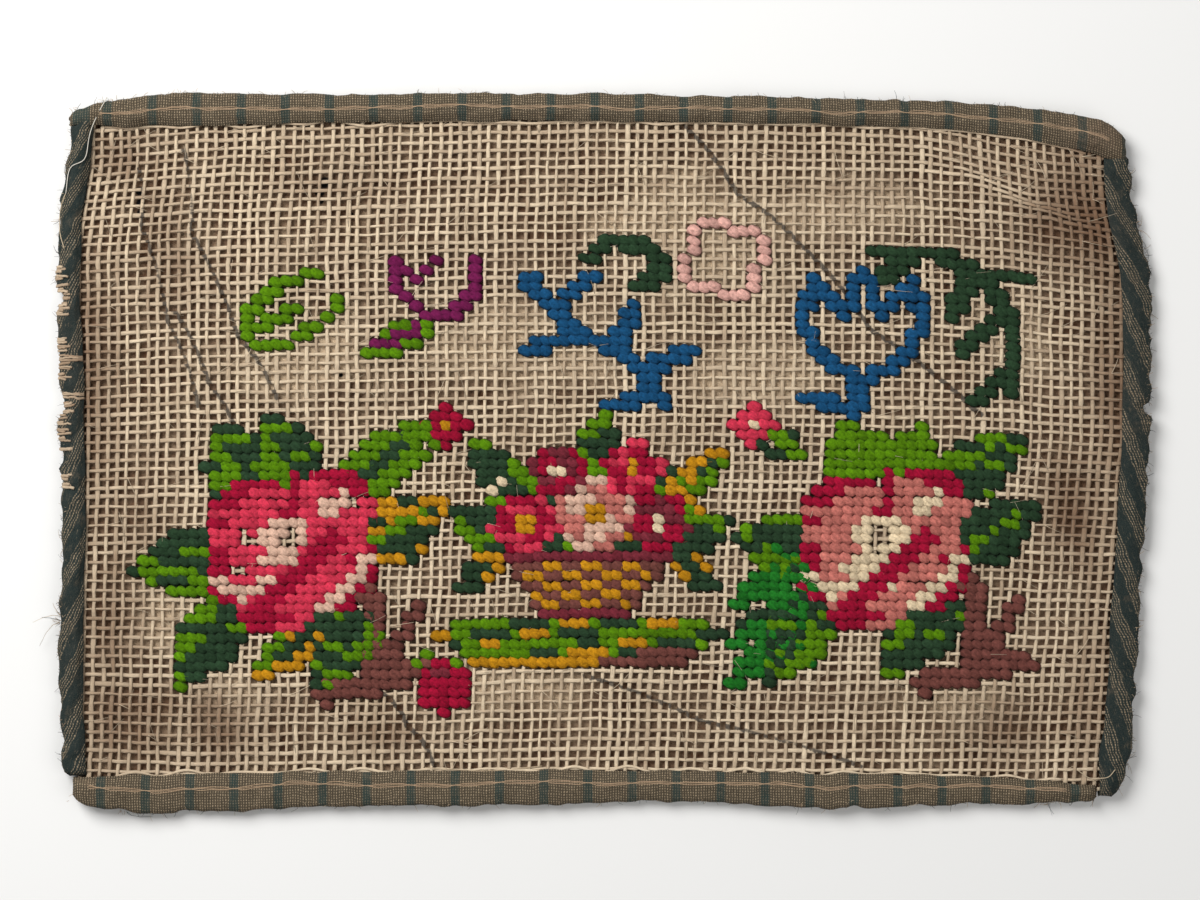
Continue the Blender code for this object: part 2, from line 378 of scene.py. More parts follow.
# Sections of strands, as shares of half the width and half the height, counter-clockwise from the right
RIBBON = np.array([(1, 0), (0.6, 0.9), (-0.6, 0.9), (-1, 0), (-0.6, -0.9), (0.6, -0.9)])
HAIR = np.array([(0.87, -0.5), (0, 1), (-0.87, -0.5)])

# A wool stitch bulges at its top and spreads at its foot, where it presses on its neighbours
PLUMP = np.array([
    (1.25, -0.8),
    (1.0, 0.12),
    (0.66, 0.72),
    (0, 0.95),
    (-0.66, 0.72),
    (-1.0, 0.12),
    (-1.25, -0.8),
    (0, -1),
])


def strands(bundle, paths, half_width, half_height, section, **marks):
    """Adds closed strands of one section along paths of shape (strand, point, 3)."""
    count, steps, _ = paths.shape
    sides = len(section)
    ahead = unit(np.gradient(paths, axis=1))
    side = unit(np.cross(ahead, UP))
    rise = np.cross(side, ahead)
    across = section[:, 0][None, None, :, None] * half_width[:, :, None, None]
    height = section[:, 1][None, None, :, None] * half_height[:, :, None, None]
    points = paths[:, :, None, :] + side[:, :, None, :] * across + rise[:, :, None, :] * height
    one = grid_faces(steps, sides, wrap=True)[:, ::-1]
    offsets = (np.arange(count) * steps * sides)[:, None, None]
    quads = (one[None] + offsets).reshape(-1, 4)
    cap = np.arange(sides)
    caps = np.stack([cap, (steps * sides - 1 - cap)])
    caps = (caps[None] + offsets).reshape(-1, sides)
    length = np.concatenate(
        [np.zeros((count, 1)), np.cumsum(np.linalg.norm(np.diff(paths, axis=1), axis=2), axis=1)], axis=1
    )
    around = np.linspace(0, 1, sides, endpoint=False)
    run = np.empty((count, steps, sides, 3))
    run[..., 0] = length[:, :, None]
    run[..., 1] = around * 4 * half_width[:, :, None]
    run[..., 2] = marks.pop("lot")[:, None, None]
    spread = {}
    for name, values in marks.items():
        if values.ndim == 2 and values.shape == (count, 3):
            spread[name] = np.repeat(values, steps * sides, axis=0)
        else:
            spread[name] = np.repeat(values.reshape(-1), sides)
    bundle.add(points.reshape(-1, 3), [quads, caps], run=run.reshape(-1, 3), **spread)


# Points along a fine fibre, and the least height of each over the floor
HAIR_POINTS = 4
HAIR_ROOM = 0.08


def hairs(bundle, draw, roots, headings, lengths, thickness, tints, curl=0.5, drop=0.0):
    """Adds fine fibres that leave their roots along their headings and curl away."""
    count = len(roots)
    t = np.linspace(0, 1, HAIR_POINTS)[None, :, None]
    headings = unit(headings)
    bend = unit(np.cross(headings, draw.normal(0, 1, (count, 3))))
    reach = lengths[:, None, None]
    paths = roots[:, None] + headings[:, None] * t * reach + bend[:, None] * t ** 2 * reach * curl
    paths[:, :, 2] -= drop * t[:, :, 0] ** 2 * lengths[:, None]
    paths[:, :, 2] = np.maximum(paths[:, :, 2], HAIR_ROOM)
    half = thickness / 2 * np.linspace(1, 0.5, HAIR_POINTS)[None] * draw.uniform(0.7, 1.3, (count, 1))
    strands(bundle, paths, half, half, HAIR, lot=draw.random(count), tint=tints)


def smoothed(route, count):
    """Evenly spread places on a smooth line through a few chosen ones."""
    route = np.array(route, float)
    at = np.linspace(0, len(route) - 1, count)
    padded = np.vstack([2 * route[0] - route[1], route, 2 * route[-1] - route[-2]])
    i = np.minimum(at.astype(int), len(route) - 2)
    t = (at - i)[:, None]
    a, b, c, d = (padded[i + k] for k in range(4))
    bend = (2 * a - 5 * b + 4 * c - d) * t ** 2
    turn = (3 * b - a - 3 * c + d) * t ** 3
    return 0.5 * (2 * b + (c - a) * t + bend + turn)


# A grid's places end just short of its last point, so that there is always a next point
LAST = 1.001


def between(values, u, v):
    """Values of a grid at places between its points, level beyond its edges."""
    u = np.clip(u, 0, values.shape[0] - LAST)
    v = np.clip(v, 0, values.shape[1] - LAST)
    i = u.astype(int)
    j = v.astype(int)
    s = u - i
    t = v - j
    near = values[i, j] * (1 - t) + values[i, j + 1] * t
    far = values[i + 1, j] * (1 - t) + values[i + 1, j + 1] * t
    return near * (1 - s) + far * s


def place_table(text):
    """A short table of numbers, a row for each line, as its columns."""
    return np.array([[float(n) for n in line.split()] for line in text.strip().splitlines()]).T


# How far the level threads hang below their place in the middle column, near the top edge, at the middle and
# near the bottom edge
DROP_X, DROP_TOP, DROP_MIDDLE, DROP_BOTTOM = place_table("""
    -136  4.6  2.9  0.2
    -104  2.3  1.4  1.5
    -40   0.6  0.4  0.7
    0     0    0    0
    50    0.6  0.3  0.6
    81    1.2  0.6  0.5
    101   2.8  1.2  0.5
    114   4.6  2.4  0.8
    132   7.6  3.4  0.4
""")
DROP_Y_TOP, DROP_Y_MIDDLE, DROP_Y_BOTTOM = 75.0, 18.0, -75.0

# How far the upright threads lean to the right of their place at mid height: at the top edge and at the
# bottom edge
LEAN_X, LEAN_TOP, LEAN_BOTTOM = place_table("""
    -136  4.0  -1.7
    -117  2.4  -2.6
    -91   1.8  -2.8
    -52   1.3  -3.6
    0     0.6  -4.6
    55    0.3  -5.1
    91   -0.6  -5.6
    112  -1.5  -6.4
    132  -3.4  -6.9
""")
LEAN_TOP_Y = (48.0, 84.0)
LEAN_BOTTOM_Y = (8.0, -82.0)
ROW_TIGHTENING = 0.0012

# The tuck at the top right, where the rows crowd: its middle, turn and half length, how much cloth it takes,
# and the height and half width of its ridge
TUCK_X, TUCK_Y, TUCK_TURN, TUCK_HALF = 108.0, 66.0, -24.0, 27.0
TUCK_TAKE, TUCK_RISE, TUCK_RIDGE = 3.5, 1.3, 3.2

# Height of the slow waves in which the cloth lies
LIE = 0.12

# Brown patches on the cloth: x, y, half sizes and strength
STAIN_X, STAIN_Y, STAIN_WIDE, STAIN_HIGH, STAIN_STRENGTH = place_table("""
    -134   20   13   60   0.62
    -112   52   12   28   0.45
    -118  -20   12   40   0.35
    -58   -72   15    8   0.62
    -70   -66   34   10   0.28
    122    60   22   22   0.75
    134    20   18   60   0.60
    124   -60   16   24   0.45
    60     66   26    9   0.30
    -70    70   30   10   0.35
    -85    40   14   12   0.15
    0     -76   60    6   0.10
    20    -70   16    8   0.10
    96    -30   16   14   0.25
    -130  -78   14   12   0.55
    -122  -70   20   16   0.70
    -101  -70   18   14   0.52
    -125  -43   12   24   0.58
    102   -70   16   14   0.52
    128    82   20   12   0.65
    120   -12   12   34   0.56
    -136  -50    9   40   0.50
    -126   76   12   10   0.55
    104    74   16    9   0.45
""")

# Where the lining lies close behind the canvas, and shows tan without painted shade: x, y and half sizes
CLOSE_X, CLOSE_Y, CLOSE_WIDE, CLOSE_HIGH = place_table("""
    24    55   32   20
    -78   24   26   14
    92   -64   15    9
    -110 -44   16   12
    -20   28   34   14
    40    20   26   12
    -96  -64   14   10
    64    62   20   10
    -30  -60   26    9
    104   30   12   14
""")

# Small worn-through spots in the lining: x, y and radius, and the near-black painted shadow that shows in them
HOLE_X, HOLE_Y, HOLE_RADIUS = place_table("""
    -71.8  69.2  1.7
    -73.1  66.8  1.5
    -73.0  64.7  1.2
    -119.2 67.0  1.3
    -119.0 64.0  1.3
    -118.9 61.4  1.2
    -65.0  60.9  0.8
    83.5 -62.7   1.0
    -67.7  19.9  0.7
""")
HOLE_SHADOW_COLOUR = (0.004, 0.003, 0.003)

# Pencil lines, each a bent line through a few places. Below: their half width, how far each stretch bows and
# wobbles, and the square of a distance that is clear of all of them
PENCIL_LINES = (
    ((-119.2, 72.5), (-118.6, 58.0), (-112.0, 34.0), (-104.0, 12.0)),
    ((-107.7, 77.6), (-105.6, 56.0), (-94.0, 30.0), (-84.0, 14.0)),
    ((-110.4, 36.6), (-101.5, 18.0), (-93.6, 3.2)),
    ((20.6, 83.3), (34.0, 66.0), (50.1, 53.2)),
    ((50.1, 53.2), (68.0, 31.4), (96.3, 9.6)),
    ((-57.7, -60.9), (-50.5, -70.0), (-43.6, -80.2)),
    ((-5.1, -57.1), (24.4, -68.6), (65.5, -80.2)),
)
PENCIL_HALF = 0.62
PENCIL_BOW, PENCIL_WOBBLE = 0.7, 0.9
PENCIL_CLEAR = 9.0


def patch_strength(x, y, places_x, places_y, wide, high, strength):
    """The strongest of several soft oval patches at each place."""
    total = np.zeros(np.broadcast(x, y).shape)
    for px, py, w, h, s in zip(places_x, places_y, wide, high, strength):
        off = ((x - px) / w) ** 2 + ((y - py) / h) ** 2
        total = np.maximum(total, s * np.exp(-off * 1.2))
    return total


def stain(x, y):
    """Brownness of the cloth from 0 to 1, broken up so that no patch has an even edge."""
    patches = patch_strength(x, y, STAIN_X, STAIN_Y, STAIN_WIDE, STAIN_HIGH, STAIN_STRENGTH)
    cloudy = 0.5 + 0.5 * waves("clouds", x, y, 26)
    blotchy = 0.5 + 0.5 * waves("blotches", x, y, 9)
    return np.clip(patches * (0.78 + 0.44 * cloudy) + 0.10 * cloudy * blotchy, 0, 1)


def closeness(x, y):
    """How close behind the canvas the lining lies, from 0 to 1."""
    close = patch_strength(x, y, CLOSE_X, CLOSE_Y, CLOSE_WIDE, CLOSE_HIGH, np.ones(len(CLOSE_X)))
    return np.clip(ease(0.25, 0.85, close + 0.25 * waves("close", x, y, 14)), 0, 1)


def pencil_segments():
    """Start, span and square of the length of each straight stretch of the pencil lines."""
    for line in PENCIL_LINES:
        for (ax, ay), (bx, by) in zip(line[:-1], line[1:]):
            yield ax, ay, bx - ax, by - ay, (bx - ax) ** 2 + (by - ay) ** 2


class Relief:
    """Height of a CAD node's top over the floor, smoothed over the node's facets."""
    STEP = 2.5
    SOFTENING = 3

    def __init__(self, node):
        tree = BVHTree.FromObject(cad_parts[node], bpy.context.evaluated_depsgraph_get())
        low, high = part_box(node)
        self.x = np.arange(low.x / MM, high.x / MM, self.STEP)
        self.y = np.arange(low.y / MM, high.y / MM, self.STEP)
        top = high.z + 1
        found = np.full((len(self.x), len(self.y)), np.nan)
        for i, x in enumerate(self.x):
            for j, y in enumerate(self.y):
                hit = tree.ray_cast(Vector((x * MM, y * MM, top)), DOWNWARD)[0]
                if hit is not None:
                    found[i, j] = hit.z / MM
        for column in found:
            good = ~np.isnan(column)
            if good.any():
                column[:] = np.interp(self.y, self.y[good], column[good])
        level = np.nanmin(found)
        found[np.isnan(found)] = level
        for _ in range(self.SOFTENING):
            edged = np.pad(found, 1, mode="edge")
            found = (edged[:-2, 1:-1] + edged[2:, 1:-1] + edged[1:-1, :-2] + edged[1:-1, 2:] + 4 * found) / 8
        self.found = found

    def at(self, x, y):
        """Height at each place, level beyond the node's edge."""
        return between(self.found, (x - self.x[0]) / self.STEP, (y - self.y[0]) / self.STEP)


class Edge:
    """A binding as the CAD has it: its fold, its inner edge and the height of its front and back along it."""
    STEP = 1.5

    # At the top left the top binding goes on over the corner, past the end of the left one: place along, and
    # fold. It comes down onto the canvas at the corner's end.
    CORNER = {"binding_top": ((-136.4, 86.9), (-134.0, 88.0), (-131.2, 88.9))}
    CORNER_END = -130.0
    CUT_SHORT = {"binding_left": 86.0}

    # Where the front is measured, in shares of its width, and the heights at which the fold is looked for.
    # The inner edge is looked for from the sixth up, over the canvas.
    FRONT_SHARES = np.linspace(0.04, 0.84, 7)
    LEVELS = np.arange(0.5, 7.0, 0.4)
    LOWEST_INNER = 5

    # Where the rays start: outside the fold, inside it, over the cloth and under it
    OUTSIDE, INSIDE, OVER, UNDER = 200, 20, 30, -5

    def __init__(self, name):
        self.name = name
        self.along, self.outward = (np.array(v, float) for v in BINDING_SIDES[name])
        tree = BVHTree.FromObject(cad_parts[name], bpy.context.evaluated_depsgraph_get())
        low, high = (np.array(corner[:2]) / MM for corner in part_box(name))
        ends = sorted((float(low @ self.along), float(high @ self.along)))
        rows = [self.measured(tree, a) for a in np.arange(ends[0] + 0.05, ends[1] - 0.04, self.STEP)]
        rows = np.array([row for row in rows if row is not None])
        # The first row lies on the strip's end, so it takes the next one's form
        rows[0, 1:] = rows[1, 1:]
        corner = [[a, fold, *rows[0, 2:]] for a, fold in self.CORNER.get(name, ())]
        rows = np.array([*corner, *rows])
        rows = rows[rows[:, 0] < self.CUT_SHORT.get(name, ends[1])]
        self.stations = rows[:, 0]
        self.fold = rows[:, 1]
        self.inner = rows[:, 2]
        self.back = rows[:, 3]
        self.front = rows[:, 4:]

    def ray(self, tree, a, out, z, way):
        place = self.along * a + self.outward * out
        hit = tree.ray_cast(Vector((place[0] * MM, place[1] * MM, z * MM)), Vector(way))[0]
        return None if hit is None else np.array(hit) / MM

    def measured(self, tree, a):
        """One row: place along, fold, inner edge, back and front heights, or nothing past the strip's end."""
        inward = (*(-self.outward), 0)
        hits = [self.ray(tree, a, self.OUTSIDE, z, inward) for z in self.LEVELS]
        folds = [hit[:2] @ self.outward for hit in hits if hit is not None]
        if not folds:
            return None
        fold = max(folds)
        levels = self.LEVELS[self.LOWEST_INNER:]
        hits = [self.ray(tree, a, fold - self.INSIDE, z, (*self.outward, 0)) for z in levels]
        inner = min(hit[:2] @ self.outward for hit in hits if hit is not None)
        heights = []
        for share in self.FRONT_SHARES:
            hit = self.ray(tree, a, inner + (fold - inner) * share, self.OVER, (0, 0, -1))
            if hit is None:
                return None
            heights.append(hit[2])
        under = self.ray(tree, a, (inner + fold) / 2, self.UNDER, (0, 0, 1))
        return [a, fold, inner, under[2], *heights]

    def inner_at(self, along):
        return np.interp(along, self.stations, self.inner)

    def fold_at(self, along):
        return np.interp(along, self.stations, self.fold)

    def place(self, along, out):
        """X and Y of places given along the binding and outward from the middle of the sampler."""
        x = self.along[0] * along + self.outward[0] * out
        y = self.along[1] * along + self.outward[1] * out
        return x, y


RELIEF = Relief("canvas")
EDGES = {name: Edge(name) for name in BINDING_SIDES}


def room_to(line, x, y):
    """Distance from each place to the nearest of one line of each binding."""
    rooms = []
    for edge in EDGES.values():
        along = x * edge.along[0] + y * edge.along[1]
        out = x * edge.outward[0] + y * edge.outward[1]
        rooms.append(line(edge, along) - out)
    return np.minimum.reduce(rooms)


def room_to_edge(x, y):
    """Distance from each place to the nearest binding's inner edge, below zero under a binding."""
    return room_to(Edge.inner_at, x, y)


def room_to_fold(x, y):
    """Distance from each place to the nearest fold."""
    return room_to(Edge.fold_at, x, y)


def tuck(x, y):
    """Shift along Y and rise of the tuck at the top right."""
    turn = radians(TUCK_TURN)
    along = ((x - TUCK_X) * cos(turn) + (y - TUCK_Y) * sin(turn)) / TUCK_HALF
    across = (y - TUCK_Y) * cos(turn) - (x - TUCK_X) * sin(turn)
    window = np.exp(-along ** 2 * 1.5)
    shift = -TUCK_TAKE * window * (ease(-4, 4, across) - 0.3 * ease(4, 22, across))
    rise = TUCK_RISE * window * np.exp(-(across / TUCK_RIDGE) ** 2)
    return shift, rise


def cloth_top(x, y):
    """Height of the canvas's top, with the tuck."""
    return RELIEF.at(x, y) + tuck(x, y)[1] + LIE * waves("lie", x, y, 30)


class Weave:
    """Where the canvas's threads cross. Columns run up the design, rows across it."""
    COLUMNS = 60
    ROWS = 44

    # Unevenness: of the spacing of columns and of rows, of each crossing, and how far the threads sway
    COLUMN_SPACING, ROW_SPACING, CROSSING, SWAY = 0.11, 0.10, 0.05, 0.20

    def __init__(self, pitch, row_pitch):
        i = np.arange(-self.COLUMNS, self.COLUMNS + 1)
        level = [0.0]
        for _ in range(self.ROWS):
            level.append(level[-1] + row_pitch - ROW_TIGHTENING * level[-1])
        sunk = [0.0]
        for _ in range(self.ROWS):
            sunk.append(sunk[-1] - row_pitch + ROW_TIGHTENING * sunk[-1])
        rows = np.array(sunk[:0:-1] + level)
        x, y = np.meshgrid(i * pitch, rows, indexing="ij")
        drop = self.drop(x, y)
        lean = np.interp(x, LEAN_X, LEAN_TOP) * ease(*LEAN_TOP_Y, y) ** 1.3
        lean = lean + np.interp(x, LEAN_X, LEAN_BOTTOM) * np.clip(
            (y - LEAN_BOTTOM_Y[0]) / (LEAN_BOTTOM_Y[1] - LEAN_BOTTOM_Y[0]), 0, 1.1
        )
        y = y - drop
        y = y + tuck(x, y)[0]
        x = x + lean
        draw = random("weave")
        spacing = draw.normal(0, self.COLUMN_SPACING, (x.shape[0], 1))
        x = x + spacing + self.SWAY * waves("x", x, y, 11) + draw.normal(0, self.CROSSING, x.shape)
        spacing = draw.normal(0, self.ROW_SPACING, (1, x.shape[1]))
        y = y + spacing + self.SWAY * waves("y", x, y, 10) + draw.normal(0, self.CROSSING, x.shape)
        self.x = x
        self.y = y
        self.z = cloth_top(x, y)

    def drop(self, x, y):
        top = np.interp(x, DROP_X, DROP_TOP)
        middle = np.interp(x, DROP_X, DROP_MIDDLE)
        bottom = np.interp(x, DROP_X, DROP_BOTTOM)
        up = np.clip((y - DROP_Y_MIDDLE) / (DROP_Y_TOP - DROP_Y_MIDDLE), 0, 1.15)
        down = np.clip((y - DROP_Y_MIDDLE) / (DROP_Y_BOTTOM - DROP_Y_MIDDLE), 0, 1.1)
        return middle + (top - middle) * up + (bottom - middle) * down

    def worked(self):
        """1 at the crossings that wool covers, 0 elsewhere."""
        found = np.zeros(self.x.shape)
        for charts in work().values():
            for chart in charts:
                columns, rows, _ = chart.placed()
                found[columns + self.COLUMNS, rows + self.ROWS] = 1
        return found

    def place(self, column, row):
        """Places between the crossings of the weave."""
        u = np.asarray(column, float) + self.COLUMNS
        v = np.asarray(row, float) + self.ROWS
        return np.stack([between(values, u, v) for values in (self.x, self.y, self.z)], -1)


# Steps along a thread from one crossing to the next but one: place, and height in shares of the weave's depth
OVER_UNDER = ((0.0, 1.0), (0.30, 0.78), (1.0, -1.0), (1.70, 0.78))


def thread_path(x, y, z, first_over, depth, middle):
    """A thread through its crossings, over one and under the next."""
    count = len(x)
    at = np.arange(count, dtype=float)
    steps = []
    for start in range(0 if first_over else -1, count, 2):
        steps += [(start + place, lift) for place, lift in OVER_UNDER]
    steps = np.array([s for s in steps if 0 <= s[0] <= count - 1])
    spots = steps[:, 0]
    path = np.stack([np.interp(spots, at, values) for values in (x, y, z)], 1)
    path[:, 2] += middle + depth * steps[:, 1]
    return path, spots


def woven(context):
    """The crossings of the canvas, from the scene's sizes."""
    sizes = context.scene.sampler_canvas
    return Weave(sizes.pitch / MM, sizes.row_pitch / MM)


def mark_depth(bundle, above, span):
    """Marks how deep each point lies, from 0 at a height above the cloth's top to 1 a span below that. The
    finishes paint shade from it.
    """
    points = np.concatenate(bundle.points)
    depth = (cloth_top(points[:, 0], points[:, 1]) + above - points[:, 2]) / span
    bundle.marks["depth"] = [np.clip(depth, 0, 1)]


class SAMPLER_OT_canvas(Operator):
    """Weave the canvas from its upright and level threads"""
    bl_idname = "sampler.canvas"
    bl_label = "Weave the canvas"

    # How far the threads run on under the bindings, and how far short of the fold they stop
    EDGE_HIDDEN = -3.0
    FOLD_ROOM = 1.9

    FEWEST_CROSSINGS = 4

    # Unevenness of width: from thread to thread, in slow waves along one, and from crossing to crossing
    THREAD_WIDTHS, SLOW_WIDTHS, CROSSING_WIDTHS = 0.13, 0.17, 0.07

    FIBRES = 620
    FIBRE_THICKNESS = 0.16

    def execute(self, context):
        sizes = context.scene.sampler_canvas
        weave = woven(context)
        inside = (room_to_edge(weave.x, weave.y) > self.EDGE_HIDDEN) & (
            room_to_fold(weave.x, weave.y) > self.FOLD_ROOM
        )
        finish = canvas_finish(sizes)
        upright = self.threads(weave, inside, sizes, sizes.upright_width / MM, False, finish)
        level = self.threads(weave, inside, sizes, sizes.level_width / MM, True, finish)
        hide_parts("canvas")
        self.fibres(weave, inside, sizes)
        return {"FINISHED"}

    def threads(self, weave, inside, sizes, width, level, finish):
        name = "canvas_level_threads" if level else "canvas_upright_threads"
        draw = random(name)
        bundle = Bundle()
        worked = weave.worked()
        thick = sizes.thickness / MM
        depth = sizes.weave_depth / MM
        middle = -(thick / 2 + depth)
        lines = weave.x.shape[1] if level else weave.x.shape[0]
        for line in range(lines):
            pick = np.s_[:, line] if level else np.s_[line, :]
            kept = np.flatnonzero(inside[pick])
            lot = draw.random()
            broad = np.clip(draw.normal(1, self.THREAD_WIDTHS), 0.72, 1.3)
            if len(kept) < self.FEWEST_CROSSINGS:
                continue
            part = slice(kept[0], kept[-1] + 1)
            x, y, z = (values[pick][part] for values in (weave.x, weave.y, weave.z))
            parity = (line + kept[0]) % 2
            path, spots = thread_path(x, y, z, parity == (0 if level else 1), depth, middle)
            count = len(path)
            uneven = 1 + self.SLOW_WIDTHS * waves(f"{name}{line}", np.arange(count) * 1.3, 0.0, 16, 6)
            uneven = uneven * np.clip(draw.normal(1, self.CROSSING_WIDTHS, count), 0.8, 1.2)
            half = (width / 2 * broad * uneven)[None]
            tall = np.full((1, count), thick / 2) * np.clip(2 - broad * uneven, 0.8, 1.25)
            strands(
                bundle,
                path[None],
                half,
                tall,
                RIBBON,
                lot=np.array([lot]),
                stain=stain(path[:, 0], path[:, 1]),
                worked=np.interp(spots, np.arange(len(x)), worked[pick][part]),
            )
        mark_depth(bundle, -0.05, 0.85)
        return bundle.piece(name, finish, "canvas_linen")

    def fibres(self, weave, inside, sizes):
        """Fine split fibres that have come up from the threads."""
        draw = random("fibres")
        i, j = np.nonzero(inside)
        pick = draw.integers(0, len(i), self.FIBRES)
        roots = np.stack([values[i[pick], j[pick]] for values in (weave.x, weave.y, weave.z)], 1)
        roots[:, 2] += 0.02
        level = draw.random(self.FIBRES) < 0.7
        turn = draw.normal(0, 0.32, self.FIBRES) + np.where(level, 0, pi / 2)
        headings = np.stack([np.cos(turn), np.sin(turn), np.full(self.FIBRES, 0.04)], 1)
        lengths = draw.uniform(2.0, 8.0, self.FIBRES)
        bundle = Bundle()
        tints = np.array(sizes.thread_colour)[None] * draw.uniform(0.6, 1.15, (self.FIBRES, 1))
        hairs(bundle, draw, roots, headings, lengths, self.FIBRE_THICKNESS, tints, 0.15)
        return bundle.piece("canvas_split_fibres", fibre_finish("canvas_fibre"), "canvas_linen")


def canvas_finish(sizes):
    """Flat bast-like thread: long pale fibres, worn and stained in patches, with pencil on top."""
    made = Finish("canvas_thread", roughness=0.78, sheen=0.05, specular=0.22)
    run = made.mark("run", "Vector")
    along, around, lot = made.split(run)
    fibres = made.noise(made.joined(along * 0.30, around * 6.0, lot * 60.0), 1.6, 3.0, 0.65)
    patches = made.noise(made.joined(along * 0.16, lot * 30.0), 1.0, 2.0)
    slubs = made.noise(made.joined(along * 1.2, around * 0.8, lot * 90.0), 1.0, 2.0)
    worn = (patches * 0.9 + lot * 0.45 + fibres * 0.5 - 0.55).step(0.0, 0.8)
    colour = made.blend(sizes.thread_colour, sizes.worn_colour, worn)
    browned = (made.mark("stain") * (0.60 + fibres * 0.75)).step(0.05, 0.95)
    colour = made.blend(colour, sizes.stain_colour, browned)
    streaks = fibres.step(0.28, 0.74)
    # Painted shade, mixed with some dirt: a thread is darker where it dips deep under the threads it crosses
    shade = (0.64 + streaks * 0.44 + slubs * 0.28) * (1.0 - made.mark("depth") * 0.24)
    # Painted shade: threads under the wool are darkened almost to black, as the deep gaps between wool rows
    # look
    shade = shade * (1.0 - made.mark("worked").step(0.55, 0.95) * 0.93)
    colour = made.shaded(colour, shade)
    x, y, _ = made.place()
    near = PENCIL_CLEAR
    wobble = (slubs - 0.5) * PENCIL_WOBBLE
    for ax, ay, across, up, square in pencil_segments():
        t = (((x - ax) * across + (y - ay) * up) / square).most(0.0).least(1.0)
        bow = (t * pi).sine() * PENCIL_BOW + wobble
        off_x = x - ax - t * across - bow
        off_y = y - ay - t * up - bow
        near = (off_x * off_x + off_y * off_y).least(near)
    drawn = (1 - (near / PENCIL_HALF ** 2).step(0.30, 1.5)) * (0.72 + streaks * 0.40)
    colour = made.blend(colour, sizes.pencil_colour, drawn.least(0.92))
    return made.finished(colour, fibres + slubs * 0.35, 0.20, 0.66 + fibres * 0.25)


def fibre_finish(name):
    """Fine fibres, each of its own tint."""
    made = Finish(name, roughness=0.85, sheen=0.1, specular=0.2)
    along, _, lot = made.split(made.mark("run", "Vector"))
    uneven = made.noise(made.joined(along * 2.0, lot * 50.0), 1.0)
    return made.finished(made.shaded(made.mark("tint", "Color"), 0.7 + uneven * 0.5), uneven, 0.05)


class SAMPLER_OT_lining(Operator):
    """Lay the fine plain-weave lining behind the canvas"""
    bl_idname = "sampler.lining"
    bl_label = "Lay the lining"
    STEP = 2.2
    THICKNESS = 0.4

    # How far it runs on under the bindings, its room under the canvas, and how far it sags where it doesn't
    # lie close
    HIDDEN = 1.6
    ROOM = 0.42
    SAG = 0.34

    # Rounds in which its points settle between the four inner edges, each of which bends along the other way
    SETTLING = 6

    def execute(self, context):
        sizes = context.scene.sampler_canvas
        low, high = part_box("lining")
        columns = round((high.x - low.x) / MM / self.STEP)
        rows = round((high.y - low.y) / MM / self.STEP)
        s, t = np.meshgrid(np.linspace(0, 1, columns + 1), np.linspace(0, 1, rows + 1), indexing="ij")
        left, right, top, bottom = (EDGES["binding_" + side] for side in ("left", "right", "top", "bottom"))
        x = (s - 0.5) * (high.x - low.x) / MM
        y = (t - 0.5) * (high.y - low.y) / MM
        for _ in range(self.SETTLING):
            x_low = -left.inner_at(y) - self.HIDDEN
            x = x_low + (right.inner_at(-y) + self.HIDDEN - x_low) * s
            y_low = -bottom.inner_at(-x) - self.HIDDEN
            y = y_low + (top.inner_at(x) + self.HIDDEN - y_low) * t
        close = closeness(x, y)
        canvas_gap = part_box("canvas")[0].z / MM
        relief = cloth_top(x, y) - RELIEF.found.min()
        under = np.clip(room_to_edge(x, y), 0, 1)
        z = canvas_gap - self.ROOM + relief - self.SAG * (1 - close) * under
        points = np.stack([x, y, np.maximum(z, self.THICKNESS + 0.02)], -1).reshape(-1, 3)
        bundle = Bundle()
        bundle.add(
            points,
            [grid_faces(columns + 1, rows + 1)[:, ::-1]],
            close=close.ravel(),
            stain=stain(x, y).ravel(),
        )
        piece = bundle.piece("lining_cloth", lining_finish(sizes), "lining_cloth")
        shell = piece.modifiers.new("thickness", "SOLIDIFY")
        shell.thickness = self.THICKNESS * MM
        shell.offset = -1
        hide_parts("lining")
        return {"FINISHED"}


# Distances between the lining's upright and level threads
LINING_PITCH, LINING_ROW = 0.62, 0.58


def lining_finish(sizes):
    """Fine plain weave, tan where it lies close and painted shade mixed with brown where it doesn't, with small
    worn-through spots painted near-black as shadow.
    """
    made = Finish("lining_cloth", roughness=0.92, sheen=0.08, specular=0.15)
    x, y, _ = made.place()
    flat = made.joined(x, y)
    wander = made.noise(flat, 0.35, 2.0) * 1.6
    upright = ((x + wander) * (tau / LINING_PITCH)).sine()
    level = ((y + wander) * (tau / LINING_ROW)).sine()
    turns = (((x + wander) / LINING_PITCH).floor() + ((y + wander) / LINING_ROW).floor()) % 2.0
    weave = turns * upright.size() + (1 - turns) * level.size()
    clouds = made.noise(flat, 0.08, 4.0, 0.6)
    spots = made.noise(flat, 0.30, 3.0, 0.6)
    # Painted shade: away from the close patches the lining turns from tan to dark brown, for the shadow of the
    # canvas over it, mixed with browning
    tan = (made.mark("close") * 0.62 + clouds * 0.7 + spots * 0.85 - 0.44).step(0.0, 1.0)
    colour = made.blend(sizes.lining_shade_and_brown, sizes.lining_colour, tan)
    colour = made.blend(colour, sizes.stain_colour, (made.mark("stain") * 1.1).step(0.15, 1.0))
    colour = made.shaded(colour, 0.50 + weave * 0.6 + made.noise(flat, 2.2) * 0.25)
    worn = 0.0
    for hx, hy, radius in zip(HOLE_X, HOLE_Y, HOLE_RADIUS):
        off_x = (x - float(hx)) / float(radius)
        off_y = (y - float(hy)) / float(radius)
        inside = 1 - (off_x * off_x + off_y * off_y).step(0.45, 1.1)
        worn = inside.most(worn)
    # Painted shadow: the worn-through spots are coloured near black, for the dark that would show through them
    colour = made.blend(colour, HOLE_SHADOW_COLOUR, worn)
    return made.finished(colour, weave * (1 - worn), 0.10)


